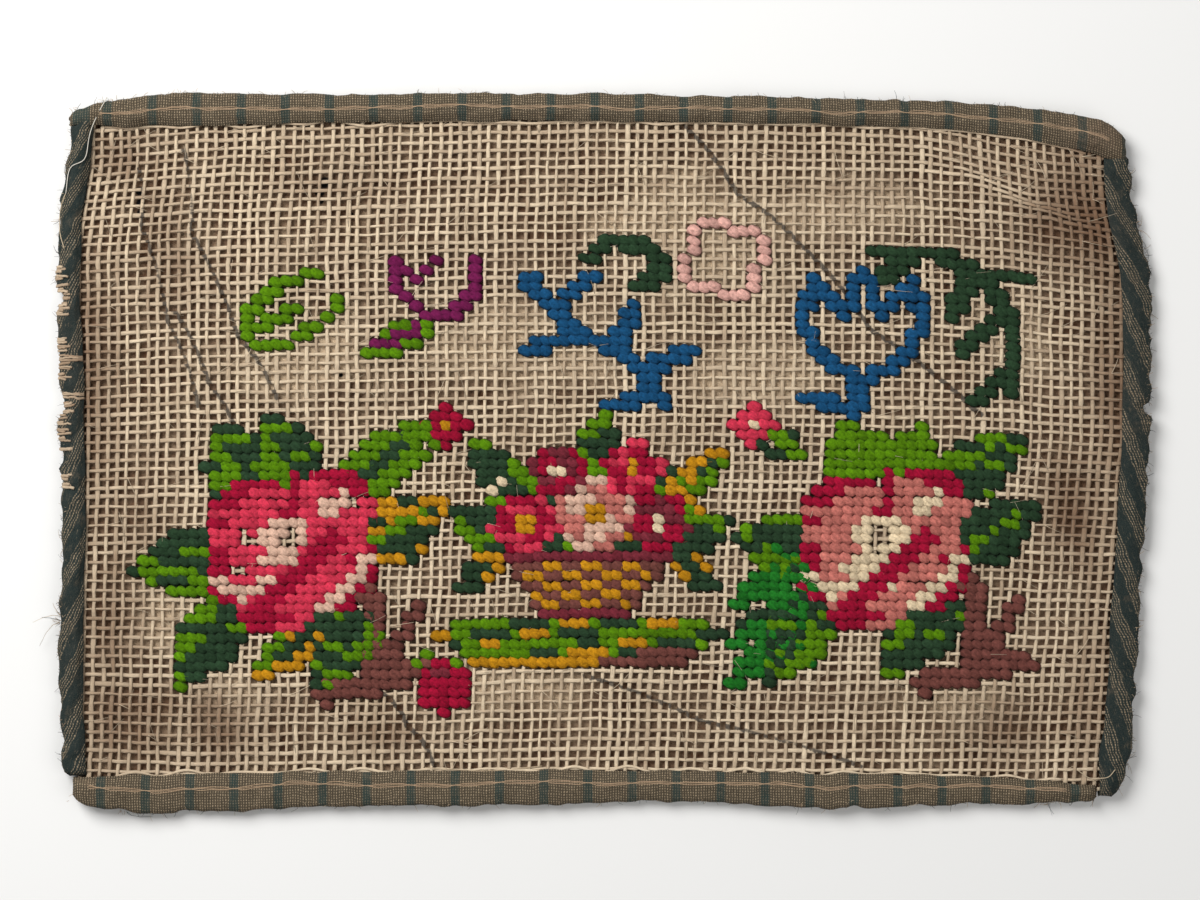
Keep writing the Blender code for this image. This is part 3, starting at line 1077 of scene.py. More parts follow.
class Fold:
    """A binding's cloth as it lies: its profile over the front, round the fold and along the back."""
    FOLD_DEPTH = 1.25
    FRONT_STEPS = 12
    FOLD_STEPS = 7
    BACK_STEPS = 4
    OVERLAP = 0.35

    # Least heights of the back over the solid's back, and of all of it over the floor
    BACK_ROOM = 0.03
    FLOOR_ROOM = 0.02

    # The strip's ends close: over this length, to this share of its height, round a core at this height over
    # the back, with the fold drawn in this far
    PINCH = 2.7
    CLOSED = 0.26
    CORE = 1.3
    ROUNDED = 1.7

    # How much higher the strip lies past the canvas's corner, and the half length of the step up to it
    OVER_CORNER = 0.6
    CORNER_STEP = 1.5

    # Share of the front that is measured, and the share next to the inner edge that is sewn down, how firmly,
    # and the room of the canvas's threads under it
    MEASURED = 0.84
    PRESSED = 0.30
    FIRMNESS = 0.8
    CLOTH_ROOM = 0.42

    # Heights of the front's puffs and of its small puffs, and how far all of it is drawn down
    PUFFS, SMALL_PUFFS, DRAWN_DOWN = 0.46, 0.24, 0.15

    def __init__(self, edge, step, ragged, tucked):
        self.edge = edge
        start = edge.stations[0] - self.OVERLAP - tucked
        end = edge.stations[-1] + self.OVERLAP
        self.along = np.linspace(start, end, round((end - start) / step) + 1)
        self.shares = np.linspace(0, 1, self.FRONT_STEPS)
        fold = edge.fold_at(self.along) + self.ragged_rim(ragged)
        inner = edge.inner_at(self.along) + 0.30 * waves(edge.name + "hem", self.along, 0.0, 11, 8)
        back = np.interp(self.along, edge.stations, edge.back) + self.BACK_ROOM
        turn = fold - self.FOLD_DEPTH
        out = inner[:, None] + (turn - inner)[:, None] * self.shares
        front = self.front_heights(out, edge.CORNER_END if edge.name in edge.CORNER else start - self.PINCH)
        angle = np.linspace(0, pi, self.FOLD_STEPS + 2)[1:-1]
        centre = (front[:, -1] + back) / 2
        half = (front[:, -1] - back) / 2
        round_out = turn[:, None] + self.FOLD_DEPTH * np.sin(angle)
        round_z = centre[:, None] + half[:, None] * np.cos(angle)
        back_out = inner[:, None] + (turn - inner)[:, None] * np.linspace(1, 0, self.BACK_STEPS)
        self.out = np.concatenate([out, round_out, back_out], 1)
        self.z = np.concatenate([front, round_z, np.repeat(back[:, None], self.BACK_STEPS, 1)], 1)
        self.close_ends(inner, fold, back)

    def ragged_rim(self, ragged):
        """How far the fold wanders from its place, with the teeth and bites of a worn strip."""
        name, a = self.edge.name, self.along
        rim = 0.28 * waves(name + "rim", a, 0.0, 9, 8) + 0.12 * waves(name + "nap", a, 0.0, 3, 8)
        rim = rim + ragged * waves(name + "rag", a, 0.0, 5.5, 10)
        rim = rim + 0.25 * ragged * waves(name + "teeth", a, 0.0, 2.2, 10)
        return rim - 2.2 * ragged * ease(0.45, 1.1, waves(name + "bites", a, 0.0, 8, 10))

    def front_heights(self, out, corner):
        """The front as measured, puffed, sewn down at its inner edge, and raised past the canvas's corner."""
        name, a, edge = self.edge.name, self.along, self.edge
        heights = np.stack([np.interp(a, edge.stations, column) for column in edge.front.T], 1)
        front = np.array([np.interp(self.shares * self.MEASURED, edge.FRONT_SHARES, row) for row in heights])
        puffs = self.PUFFS * waves(name + "puffs", a[:, None], out, 7)
        puffs = puffs + self.SMALL_PUFFS * waves(name + "small", a[:, None], out, 3.2)
        front = front + puffs * (0.35 + 0.65 * np.sin(self.shares * pi) ** 0.6) - self.DRAWN_DOWN
        pressed = cloth_top(*edge.place(a[:, None], out)) + self.CLOTH_ROOM
        on_canvas = ease(corner - self.CORNER_STEP, corner + self.CORNER_STEP, a)[:, None]
        sewn = np.maximum(front - pressed, 0) * self.FIRMNESS * (1 - ease(0, self.PRESSED, self.shares))
        front = front - sewn * on_canvas
        return front + self.OVER_CORNER * (1 - on_canvas)

    def close_ends(self, inner, fold, back):
        """Draws both ends of the strip together, and keeps all of it off the floor."""
        a, z = self.along, self.z
        from_end = np.clip(np.minimum(a - a[0], a[-1] - a) / self.PINCH, 0, 1)
        pinch = (self.CLOSED + (1 - self.CLOSED) * np.sqrt(1 - (1 - from_end) ** 2))[:, None]
        core = back[:, None] + self.CORE
        self.z = np.maximum(core + (z - core) * pinch, self.FLOOR_ROOM)
        reach = (self.out - inner[:, None]) / (fold - inner)[:, None]
        self.out = self.out - (1 - pinch) * self.ROUNDED * reach
        self.run = a[:, None] + 0.25 * waves(self.edge.name + "end", z * 3, self.out, 5) * (1 - pinch)

    def on_front(self, along, share, lift=0.0):
        """Points on the front, at places along it and shares of the way from its inner edge to the fold."""
        u = (along - self.along[0]) / (self.along[1] - self.along[0])
        v = np.clip(share, 0, 1) * (self.FRONT_STEPS - LAST)
        x, y = self.edge.place(along, between(self.out, u, v))
        return np.stack([x, y, between(self.z, u, v) + lift], -1)

    def rim_path(self, along, reach):
        """Points across the strip, from the outside of the fold over the front for a few steps."""
        i = int(np.argmin(np.abs(self.along - along)))
        j = np.arange(self.FRONT_STEPS + 3, self.FRONT_STEPS - 1 - reach, -1)
        j = j[j >= 0]
        x, y = self.edge.place(along, self.out[i, j] + 0.06)
        return np.stack([x, y, self.z[i, j] + 0.12], -1)

    def rim_points(self, draw, count):
        """Random points round the outside of the fold."""
        i = draw.integers(1, len(self.along) - 1, count)
        j = draw.integers(self.FRONT_STEPS - 1, self.FRONT_STEPS + self.FOLD_STEPS - 1, count)
        x, y = self.edge.place(self.along[i], self.out[i, j] - 0.1)
        return np.stack([x, y, self.z[i, j]], -1)


class SAMPLER_OT_bindings(Operator):
    """Fold the four bindings over the canvas's edges"""
    bl_idname = "sampler.bindings"
    bl_label = "Fold the bindings"
    STEP = 0.9

    # Of each binding: the angle of its cut, the place of its first bar or band, how ragged its fold is, how
    # many fibres stand off it, and how far its start is tucked in
    BIAS = {"binding_top": 0.0, "binding_bottom": 0.0, "binding_left": 62.0, "binding_right": -65.0}
    BAR_START = {"binding_top": 8.79, "binding_bottom": -6.99, "binding_left": 1.0, "binding_right": 3.0}
    RAGGED = {"binding_top": 0.14, "binding_bottom": 0.18, "binding_left": 0.50, "binding_right": 0.58}
    NAP = {"binding_top": 500, "binding_bottom": 560, "binding_left": 900, "binding_right": 1000}
    TUCKED = {"binding_right": 2.4}

    # The raised threads: their place in shares of the front's width, spacing and thickness
    CORD_SHARE = {"binding_top": 0.60, "binding_bottom": 0.42}
    CORD_SPACING = 0.40
    CORD_THICKNESS = 0.13

    # Thickness of the frayed fibres, and the shares among them of the specks' colour, the bias ground's, the
    # straight ground's and the raised threads'
    NAP_THICKNESS = 0.14
    NAP_SHARES = (0.32, 0.34, 0.24, 0.10)

    HEM_HALF_WIDTH = 0.36

    def execute(self, context):
        sizes = context.scene.sampler_binding
        canvas = context.scene.sampler_canvas
        fibre = fibre_finish("binding_fibre")
        thread = canvas_finish(canvas)
        for name, edge in EDGES.items():
            fold = Fold(edge, self.STEP, self.RAGGED[name], self.TUCKED.get(name, 0.0))
            finish = binding_finish(sizes, name, radians(self.BIAS[name]), self.BAR_START[name])
            self.cloth(fold, sizes, finish)
            self.nap(fold, sizes, fibre)
            if name in self.CORD_SHARE:
                self.cords(fold, sizes, fibre)
                self.hem_thread(fold, thread)
            if name == "binding_left":
                self.worn_rows(fold, woven(context), thread)
        return {"FINISHED"}

    def cloth(self, fold, sizes, finish):
        name = fold.edge.name
        x, y = fold.edge.place(fold.run, fold.out)
        points = np.stack([x, y, fold.z], -1).reshape(-1, 3)
        steps = np.hypot(np.diff(fold.out, axis=1), np.diff(fold.z, axis=1))
        across = np.concatenate([np.zeros((len(x), 1)), np.cumsum(steps, 1)], 1)
        run = np.stack([fold.run, across, np.full(x.shape, 0.5)], -1).reshape(-1, 3)
        bundle = Bundle()
        bundle.add(
            points,
            [grid_faces(*x.shape)[:, ::-1]],
            run=run,
            stain=stain(points[:, 0], points[:, 1]),
        )
        piece = bundle.piece(name + "_cloth", finish, "binding_check")
        shell = piece.modifiers.new("thickness", "SOLIDIFY")
        shell.thickness = sizes.thickness
        shell.offset = -1
        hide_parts(name)

    def nap(self, fold, sizes, finish):
        """Frayed fibres along the fold."""
        name = fold.edge.name
        draw = random(name + "nap")
        count = self.NAP[name]
        roots = fold.rim_points(draw, count)
        outward = np.array((*fold.edge.outward, 0.0))
        headings = outward + draw.normal(0, (0.75, 0.75, 0.35), (count, 3))
        lengths = np.clip(draw.exponential(0.42, count), 0.25, 1.9)
        shades = np.array([sizes.speck_colour, sizes.band_colour, sizes.ground_colour, sizes.cord_colour])
        tints = shades[draw.choice(4, count, p=self.NAP_SHARES)] * draw.uniform(0.8, 1.3, (count, 1))
        bundle = Bundle()
        hairs(bundle, draw, roots, headings, lengths, self.NAP_THICKNESS, tints, 0.9, 0.2)
        return bundle.piece(name + "_nap", finish, "binding_check")

    def cords(self, fold, sizes, finish):
        """Three raised threads along the strip, drawn together where they cross a bar."""
        name = fold.edge.name
        draw = random(name + "cords")
        along = np.arange(fold.along[0] + 8, fold.along[-1] - 4, 0.9)
        phase = (along - self.BAR_START[name]) / (sizes.bar_pitch / MM)
        from_bar = np.abs(phase - np.round(phase)) * sizes.bar_pitch / MM
        free = ease(0.6, 2.2, from_bar)
        wander = 0.07 * waves(name + "wander", along, 0.0, 34, 6)
        wander = wander + 0.02 * waves(name + "drift", along, 0.0, 9, 6)
        width = fold.edge.fold_at(along) - fold.edge.inner_at(along)
        bundle = Bundle()
        for lane in (-1, 0, 1):
            stray = 0.16 * waves(f"{name}lane{lane}", along, 0.0, 8, 6) * free
            step = (lane * self.CORD_SPACING + stray) / width
            share = self.CORD_SHARE[name] + wander + step * (0.15 + 0.85 * free)
            path = fold.on_front(along, share, 0.02)
            half = np.full((1, len(along)), self.CORD_THICKNESS / 2) * (0.75 + 0.35 * free)
            tint = np.array(sizes.cord_colour)[None] * draw.uniform(0.8, 1.1)
            strands(bundle, path[None], half, half, RIBBON, lot=draw.random(1), tint=tint)
        return bundle.piece(name + "_raised_threads", finish, "binding_check")

    def hem_thread(self, fold, finish):
        """The half-hidden canvas thread that loops in and out along the binding's inner edge."""
        name = fold.edge.name + "_hem_thread"
        draw = random(name)
        along = np.arange(fold.along[0] + 9, fold.along[-1] - 9, 1.1)
        out = fold.edge.inner_at(along) - 0.1 + 0.75 * waves(name, along, 0.0, 9, 8)
        x, y = fold.edge.place(along, out)
        z = cloth_top(x, y) + 0.02 + 0.20 * waves(name + "lift", along, 0.0, 6, 6)
        shape = (1, len(along))
        half = np.full(shape, self.HEM_HALF_WIDTH) * np.clip(draw.normal(1, 0.1, shape), 0.7, 1.3)
        path = np.stack([x, y, z], -1)[None]
        bundle = Bundle()
        strands(bundle, path, half, half * 0.5, RIBBON, lot=draw.random(1), stain=stain(x, y))
        mark_depth(bundle, 0.3, 1.2)
        return bundle.piece(name, finish, "canvas_linen")

    # Places up the sampler between which the left binding's fold is worn through, the places of rows whose
    # end crosses all of the binding, where along X the rows reach it, and how far below its row an end shows
    WORN_STRETCHES = ((1.0, 16.0), (19.0, 31.0), (35.0, 49.0), (-8.0, -4.0))
    LONG_ENDS = (17.2, 24.9)
    ROWS_REACH = -133
    ENDS_BELOW = 1.6
    HALF_ROW = 1.25

    def worn_rows(self, fold, weave, finish):
        """Ends of the canvas's rows that show where the fold is worn through."""
        draw = random("worn rows")
        bundle = Bundle()
        column = np.argmin(np.abs(weave.x[:, weave.ROWS] - self.ROWS_REACH))
        for y in weave.y[column]:
            worn = any(low < y < high for low, high in self.WORN_STRETCHES)
            long = any(abs(y - end) < self.HALF_ROW for end in self.LONG_ENDS)
            if not (worn or long):
                continue
            for strand in range(3):
                shift = (strand - 1) * 0.5 + draw.normal(0, 0.15)
                reach = Fold.FRONT_STEPS if long else draw.integers(2, 7)
                path = fold.rim_path(y - self.ENDS_BELOW + shift, reach)
                count = len(path)
                path[:, 1] += np.cumsum(draw.normal(0, 0.09, count))
                half = np.full((1, count), draw.uniform(0.26, 0.42))
                lot = draw.random(1)
                browned = stain(path[:, 0], path[:, 1]) * 0.6 + 0.12
                strands(bundle, path[None], half, half * 0.6, RIBBON, lot=lot, stain=browned)
        bundle.marks["depth"] = [np.zeros(bundle.count)]
        return bundle.piece("canvas_row_ends", finish, "canvas_linen")


# The wide bar where the top binding turns the corner: its middle and its half width
CORNER_BAR, CORNER_BAR_HALF = -133.4, 2.0

# Distances between the cloth's threads: along and across the strips cut straight, of the light lines and
# their beads on the bias strips, and of the fine weave of all
STRAIGHT_PITCH, STRAIGHT_ROW = 0.66, 0.70
BIAS_PITCH, BIAS_BEAD = 0.68, 0.70
FINE_PITCH = 0.38


def binding_finish(sizes, name, bias, bar_start):
    """Speckled cloth: blue-green bars where it is cut straight, and slanting bands on the bias."""
    made = Finish(name + "_cloth", roughness=0.95, sheen=0.015, specular=0.06)
    run = made.mark("run", "Vector")
    a, d, _ = made.split(run)
    place = made.joined(a, d)
    uneven = made.noise(place, 0.5, 3.0, 0.6)
    pulled = made.noise(place, 0.22, 2.0, 0.5) - 0.5
    along = (a - bar_start) * cos(bias) + d * sin(bias) + (uneven - 0.5) * 0.6
    across = d * cos(bias) - a * sin(bias) + (uneven - 0.5) * 0.6
    grain = made.noise(made.joined(along * 1.2, across * 2.4), 2.2, 3.0, 0.65)
    fine = (along * (tau / FINE_PITCH)).sine() * (across * (tau / FINE_PITCH)).sine()
    mottle = made.noise(place, 1.1, 2.0, 0.6)
    if bias:
        pitch = sizes.band_pitch / MM
        share = sizes.band_width / MM / pitch
        phase = ((along + pulled * 1.6) / pitch) % 1.0
        band = phase.step(0.0, 0.05) * (1 - phase.step(share, share + 0.06))
        lines = (((along + pulled * 1.6) * (tau / BIAS_PITCH)).sine() * 0.5 + 0.5).step(0.30, 0.95)
        beads = (across * (tau / BIAS_BEAD) + along * 4.0 + grain * 5.0).sine()
        beads = (beads * 0.5 + 0.5).step(0.10, 0.90)
        light = lines * (0.30 + 0.70 * beads) * band * (mottle * 2.5 - 0.58)
        stray = made.noise(made.joined(along * 2.6, across * 0.5), 1.0, 2.0).step(0.58, 0.75)
        mesh = (fine * 0.5 + 0.5) * (grain * 1.5 - 0.45)
        light = light.most(stray * 0.32).most(mesh * 0.30)
        colour = made.blend(sizes.band_colour, sizes.speck_colour, light)
        raised = light + fine * 0.3
    else:
        pitch = sizes.bar_pitch / MM
        share = sizes.bar_width / MM / pitch / 2
        phase = ((along / pitch + 0.5) % 1.0 - 0.5).size()
        bar = 1 - phase.step(share - 0.025, share + 0.03)
        bar = bar.most(1 - (a - CORNER_BAR).size().step(CORNER_BAR_HALF, CORNER_BAR_HALF + 0.5))
        columns = ((along * (tau / STRAIGHT_PITCH)).sine() * 0.5 + 0.5).step(0.30, 0.95)
        rows = ((across * (tau / STRAIGHT_ROW)).sine() * 0.5 + 0.5).step(0.20, 0.95)
        dots = columns * (rows * 0.85 + 0.15)
        light = (dots * (mottle * 1.9 - 0.10)).most((grain - 0.50) * 0.9)
        ground = made.blend(sizes.ground_colour, sizes.speck_colour, light)
        teal = made.blend(sizes.bar_colour, sizes.speck_colour, light * 0.22)
        colour = made.blend(ground, teal, bar * (0.50 + uneven * 0.60))
        raised = dots * 0.8 + fine * 0.22
    worn = made.noise(place, 0.14, 4.0, 0.65).step(0.55, 0.75)
    colour = made.blend(colour, sizes.cord_colour, worn * grain * 0.30)
    rust = (made.mark("stain") * mottle * 1.7).step(0.25, 1.1) * (0.12 if bias else 0.45)
    colour = made.blend(colour, sizes.rust_colour, rust)
    colour = made.shaded(colour, 0.40 + grain * 0.72 + mottle * 0.30 + fine * 0.20)
    return made.finished(colour, raised + grain * 0.7, 0.17)


class Chart:
    """Worked cells of the canvas: which wool covers each crossing."""

    def __init__(self, column, row):
        self.column = column
        self.row = row
        self.cells = {}

    def fill(self, wool, low, high, inside):
        """Works each cell of a box whose place from the chart's middle passes. Wool may be a function."""
        for u in range(low[0], high[0] + 1):
            for v in range(low[1], high[1] + 1):
                if inside(u, v):
                    name = wool(u, v) if callable(wool) else wool
                    if name is None:
                        self.cells.pop((u, v), None)
                    else:
                        self.cells[(u, v)] = name

    def oval(self, wool, u, v, half_u, half_v, turn=0.0):
        c, s = cos(radians(turn)), sin(radians(turn))
        reach = int(max(half_u, half_v)) + 1

        def inside(a, b):
            p = (a - u) * c + (b - v) * s
            q = (b - v) * c - (a - u) * s
            return (p / half_u) ** 2 + (q / half_v) ** 2 <= 1

        self.fill(wool, (int(u) - reach, int(v) - reach), (int(u) + reach, int(v) + reach), inside)

    def blade(self, wool, base, tip, half, inside):
        """Works a leaf's cells. Its functions get the share of its length, side step and half width."""
        length = ((tip[0] - base[0]) ** 2 + (tip[1] - base[1]) ** 2) ** 0.5
        c, s = (tip[0] - base[0]) / length, (tip[1] - base[1]) / length
        reach = int(length + half) + 2

        def at(a, b):
            p = ((a - base[0]) * c + (b - base[1]) * s) / length
            q = (b - base[1]) * c - (a - base[0]) * s
            return p, q, half * sin(pi * min(max(p, 0), 1) ** 0.75) ** 0.8

        low = (int(base[0]) - reach, int(base[1]) - reach)
        high = (int(base[0]) + reach, int(base[1]) + reach)
        self.fill(lambda a, b: wool(a, b, *at(a, b)), low, high, lambda a, b: inside(*at(a, b)))

    def leaf(self, light, shade, base, tip, half, vein="dark"):
        """A pointed leaf, one half light and the other shaded, with a dark vein between them."""

        def inside(p, q, width):
            return -0.02 <= p <= 1.03 and abs(q) <= width + 0.35

        def wool(a, b, p, q, width):
            if abs(q) < 0.55 and 0.05 < p < 0.8:
                return vein
            if q > 0:
                return shade if dash(a, b) > 1.1 else light
            return light if dash(a, b) < -0.5 else shade

        self.blade(wool, base, tip, half, inside)

    def rim(self, wool, base, tip, half, share=1.0):
        """The outline of a pointed leaf, up to a share of its length."""

        def inside(p, q, width):
            return -0.03 <= p <= share and abs(abs(q) - width) <= 0.62

        self.blade(lambda a, b, *_: wool, base, tip, half, inside)

    def ring(self, wool, u, v, radius, lobes, depth):
        """A ring with lobes."""

        def inside(a, b):
            reach = radius * (1 + depth * cos(lobes * atan2(b - v, a - u) - pi / 2))
            return abs(((a - u) ** 2 + (b - v) ** 2) ** 0.5 - reach) <= 0.56

        size = int(radius * 1.4) + 2
        self.fill(wool, (int(u) - size, int(v) - size), (int(u) + size, int(v) + size), inside)

    def line(self, wool, *places, thick=0.6):
        """A bent line of cells."""
        for (au, av), (bu, bv) in zip(places[:-1], places[1:]):
            length = max((bu - au) ** 2 + (bv - av) ** 2, 1e-6)

            def inside(a, b):
                t = min(max(((a - au) * (bu - au) + (b - av) * (bv - av)) / length, 0), 1)
                return ((a - au - t * (bu - au)) ** 2 + (b - av - t * (bv - av)) ** 2) ** 0.5 <= thick

            low = (int(min(au, bu)) - 2, int(min(av, bv)) - 2)
            high = (int(max(au, bu)) + 2, int(max(av, bv)) + 2)
            self.fill(wool, low, high, inside)

    def clear(self, *cells):
        for cell in cells:
            self.cells.pop(cell, None)

    def placed(self):
        """Columns, rows and wool names of the worked cells, in order."""
        cells = sorted(self.cells, key=lambda c: (c[1], c[0]))
        columns = np.array([c[0] + self.column for c in cells])
        rows = np.array([c[1] + self.row for c in cells])
        return columns, rows, [self.cells[c] for c in cells]


def dash(u, v):
    """Short level dashes from -2 to 2, as a worker breaks up a shaded area."""
    return sin(u * 0.8 + v * 2.4) + sin(v * 1.7 - u * 0.55)


# Where a petal's shade starts and where its light ends, in shares of its half length, and how far the dashes
# shift both
PETAL_SHADE, PETAL_LIGHT, PETAL_DASH = 0.42, -0.62, 0.14


def petal_wool(shade, body, light, u, v, half, turn):
    """Shading of one petal: its shade at the far rim, its light along the near one."""
    c, s = cos(radians(turn)), sin(radians(turn))

    def wool(a, b):
        depth = ((a - u) * c + (b - v) * s) / half + PETAL_DASH * dash(a, b)
        if depth > PETAL_SHADE:
            return shade
        if depth < PETAL_LIGHT:
            return light
        return body

    return wool


def rose(chart, shade, body, light, edge, heart):
    """An open rose of five petals round a pale heart."""
    petals = (
        (-4.4, 3.6, 4.6, 4.2, 125),
        (3.9, 4.6, 4.2, 4.4, 60),
        (-5.0, -1.8, 3.9, 4.0, 190),
        (-1.6, -5.2, 4.6, 3.6, 250),
        (4.2, -2.2, 4.4, 4.6, 330),
    )
    for u, v, half_u, half_v, turn in petals:
        chart.oval(petal_wool(shade, body, light, u, v, half_u, turn), u, v, half_u, half_v, turn - 90)
    chart.line(shade, (4.0, 1.0), (1.0, -2.0), (-3.0, -6.0), thick=1.25)
    chart.line(edge, (7.6, -0.6), (6.4, -3.6), (2.6, -6.4), thick=0.6)
    chart.line(edge, (-8.2, -3.0), (-5.0, -4.4), (-2.4, -3.4), thick=0.6)
    chart.line(edge, (3.4, 4.4), (5.2, 5.8), thick=0.8)
    chart.line(shade, (-0.4, 4.2), (0.2, 7.6), thick=0.7)
    chart.oval(edge, -0.9, 1.6, 2.6, 2.3, 20)
    chart.oval(heart, -0.6, 1.2, 1.3, 1.2)
    chart.line(edge, (-3.4, -1.0), (0.4, -0.6), thick=0.6)


def flower_left():
    """The coral rose with its six leaves, some of its wool lost."""
    chart = Chart(-31, -10)
    chart.leaf("bright", "dark", (-3, 6), (-8, 13), 3.8)
    chart.leaf("bright", "dark", (1, 7), (-3, 14), 2.8)
    chart.leaf("bright", "bright", (5, 6), (13, 13), 2.7)
    chart.leaf("bright", "dark", (-6, 0), (-16, -2), 3.0)
    chart.leaf("dark", "bright", (-6, -5), (-11, -14), 2.8)
    chart.leaf("ochre", "dark", (7, 0), (15, 5), 3.2, vein="bright")
    chart.leaf("ochre", "bright", (6, -5), (-3, -13), 2.6)
    chart.leaf("bright", "dark", (8, -7), (3, -14), 2.6)
    rose(chart, "crimson", "coral", "coral", "pale", "pale")
    chart.clear((-5, 1), (-4, 1), (-5, 2), (-6, -2), (-5, -2), (6, 5), (-1, 1), (0, 1), (0, 2))
    return chart


def flower_right():
    """The faded rose with its six leaves."""
    chart = Chart(29, -10)
    chart.leaf("bright", "bright", (-2, 7), (-5, 13), 3.4, vein="bright")
    chart.leaf("bright", "bright", (1, 7), (3, 13), 2.6, vein="bright")
    chart.leaf("bright", "dark", (5, 6), (13, 12), 2.7)
    chart.leaf("bright", "dark", (-6, 0), (-15, 1), 3.2)
    chart.leaf("bright", "dark", (-6, -5), (-11, -14), 2.8)
    chart.leaf("dark", "dark", (7, -1), (15, 5), 2.7, vein="bright")
    chart.leaf("dark", "bright", (7, -4), (1, -13), 3.2)
    rose(chart, "crimson", "pink", "cream", "cream", "cream")
    chart.clear((-1, 1), (0, 1), (-1, 2), (0, 2), (-1, 0))
    return chart


def blossom(chart, u, v, half, shade, body, heart, turn=90):
    """A round flower of five petals, shaded at its rim."""
    for petal in range(5):
        angle = turn + petal * 72
        pu = u + 0.55 * half * cos(radians(angle))
        pv = v + 0.55 * half * sin(radians(angle))
        rim, middle = (shade, body) if petal % 2 else (body, shade)
        wool = petal_wool(rim, middle, body, pu, pv, half * 0.5, angle)
        chart.oval(wool, pu, pv, half * 0.55, half * 0.5)
    chart.oval(heart, u, v, half * 0.32, half * 0.32)


def basket():
    """A basket of flowers on a green bank."""
    chart = Chart(-1, -11)

    def foliage(u, v):
        return v >= 1 and (u / 11.5) ** 2 + ((v - 3.5) / 8.0) ** 2 <= 1

    def green(u, v):
        level = dash(u, v)
        return "dark" if level < -0.2 else "ochre" if level > 1.35 else "bright"

    def bowl(u, v):
        return -6 <= v <= 0 and abs(u) <= 8.2 + v * 0.55

    def wicker(u, v):
        if v in (0, -6):
            return "maroon"
        if abs(u) > 7.2 + v * 0.55:
            return "brown"
        return "ochre" if ((u // 2) + v) % 2 else "brown"

    def bank(u, v):
        return -11 <= v <= -7 and abs(u + 0.5) <= 14.5 - abs(v + 8) * 1.1

    def turf(u, v):
        if v == -11 or (v == -10 and u > 5):
            return "ochre" if u < 2 else "brown"
        level = dash(u, v)
        return "dark" if level < -0.5 else "ochre" if level > 1.0 else "bright"

    chart.fill(green, (-12, 1), (12, 12), foliage)
    chart.leaf("bright", "dark", (7, 1), (14, 4), 2.0)
    chart.leaf("bright", "dark", (-7, 1), (-14, 5), 2.2)
    chart.leaf("ochre", "bright", (8, 6), (13, 11), 1.8)
    chart.leaf("dark", "bright", (-8, 7), (-12, 12), 1.8)
    chart.leaf("bright", "dark", (0, 10), (1, 15), 1.6)
    chart.leaf("ochre", "dark", (9, 0), (13, -3), 1.2)
    chart.leaf("ochre", "dark", (-9, 0), (-13, -3), 1.2)
    blossom(chart, 0.5, 4.5, 4.0, "pink", "pale", "ochre")
    blossom(chart, -6.5, 3.5, 3.3, "crimson", "coral", "ochre", 54)
    blossom(chart, 7.0, 3.5, 3.1, "maroon", "crimson", "cream", 126)
    blossom(chart, -3.5, 9.0, 2.8, "maroon", "crimson", "cream", 100)
    blossom(chart, 4.0, 9.2, 2.9, "crimson", "coral", "ochre", 80)
    chart.line("cream", (-10, 7), (-9, 8), thick=0.7)
    chart.line("ochre", (9, 7), (10, 8), thick=0.7)
    chart.fill(wicker, (-9, -6), (9, 0), bowl)
    chart.fill(turf, (-16, -11), (15, -7), bank)
    return chart


def floret(column, row, petals, heart, leaf, side):
    """A small single flower with one leaf."""
    chart = Chart(column, row)
    chart.leaf(leaf, "dark", (side, -1), (side * 5, -3), 1.2, vein=leaf)
    chart.oval(petals, 0, 0, 2.2, 2.2)
    chart.oval(heart, 0, 0, 0.6, 0.6)
    chart.clear((2, 2), (-2, 2), (2, -2), (-2, -2))
    return chart


def fern(column, row):
    """A cool green frond that hangs beside the flowers."""
    chart = Chart(column, row)
    chart.line("emerald", (0, 0), (1, -4), (0, -8), (-1, -13), thick=0.8)
    for side, level in ((1, -1), (-1, -3), (1, -5), (-1, -7), (1, -9), (-1, -11)):
        shade = "dark" if level == -7 else "emerald"
        chart.leaf("emerald", shade, (0, level), (side * 4, level - 3), 1.0, vein="emerald")
    return chart


def stem(column, row, bud):
    """A bare forked twig under a flower, with or without a red bud."""
    chart = Chart(column, row)
    chart.line("brown", (0, 10), (1, 5), (1, 1), thick=1.0)
    chart.line("brown", (5, 9), (3, 5), (2, 2), thick=0.85)
    chart.line("brown", (-4, 0), (0, 1), (4, 2), thick=1.05)
    chart.line("brown", (4, 3), (7, 2), thick=0.75)
    if bud:
        chart.oval("crimson", 8, 0.6, 2.6, 2.6)
        chart.oval("maroon", 7.4, 2.2, 1.1, 0.7)
        chart.fill("bright", (4, 0), (9, 4), lambda u, v: (u, v) in ((5, 3), (6, 4), (9, 3)))
    return chart


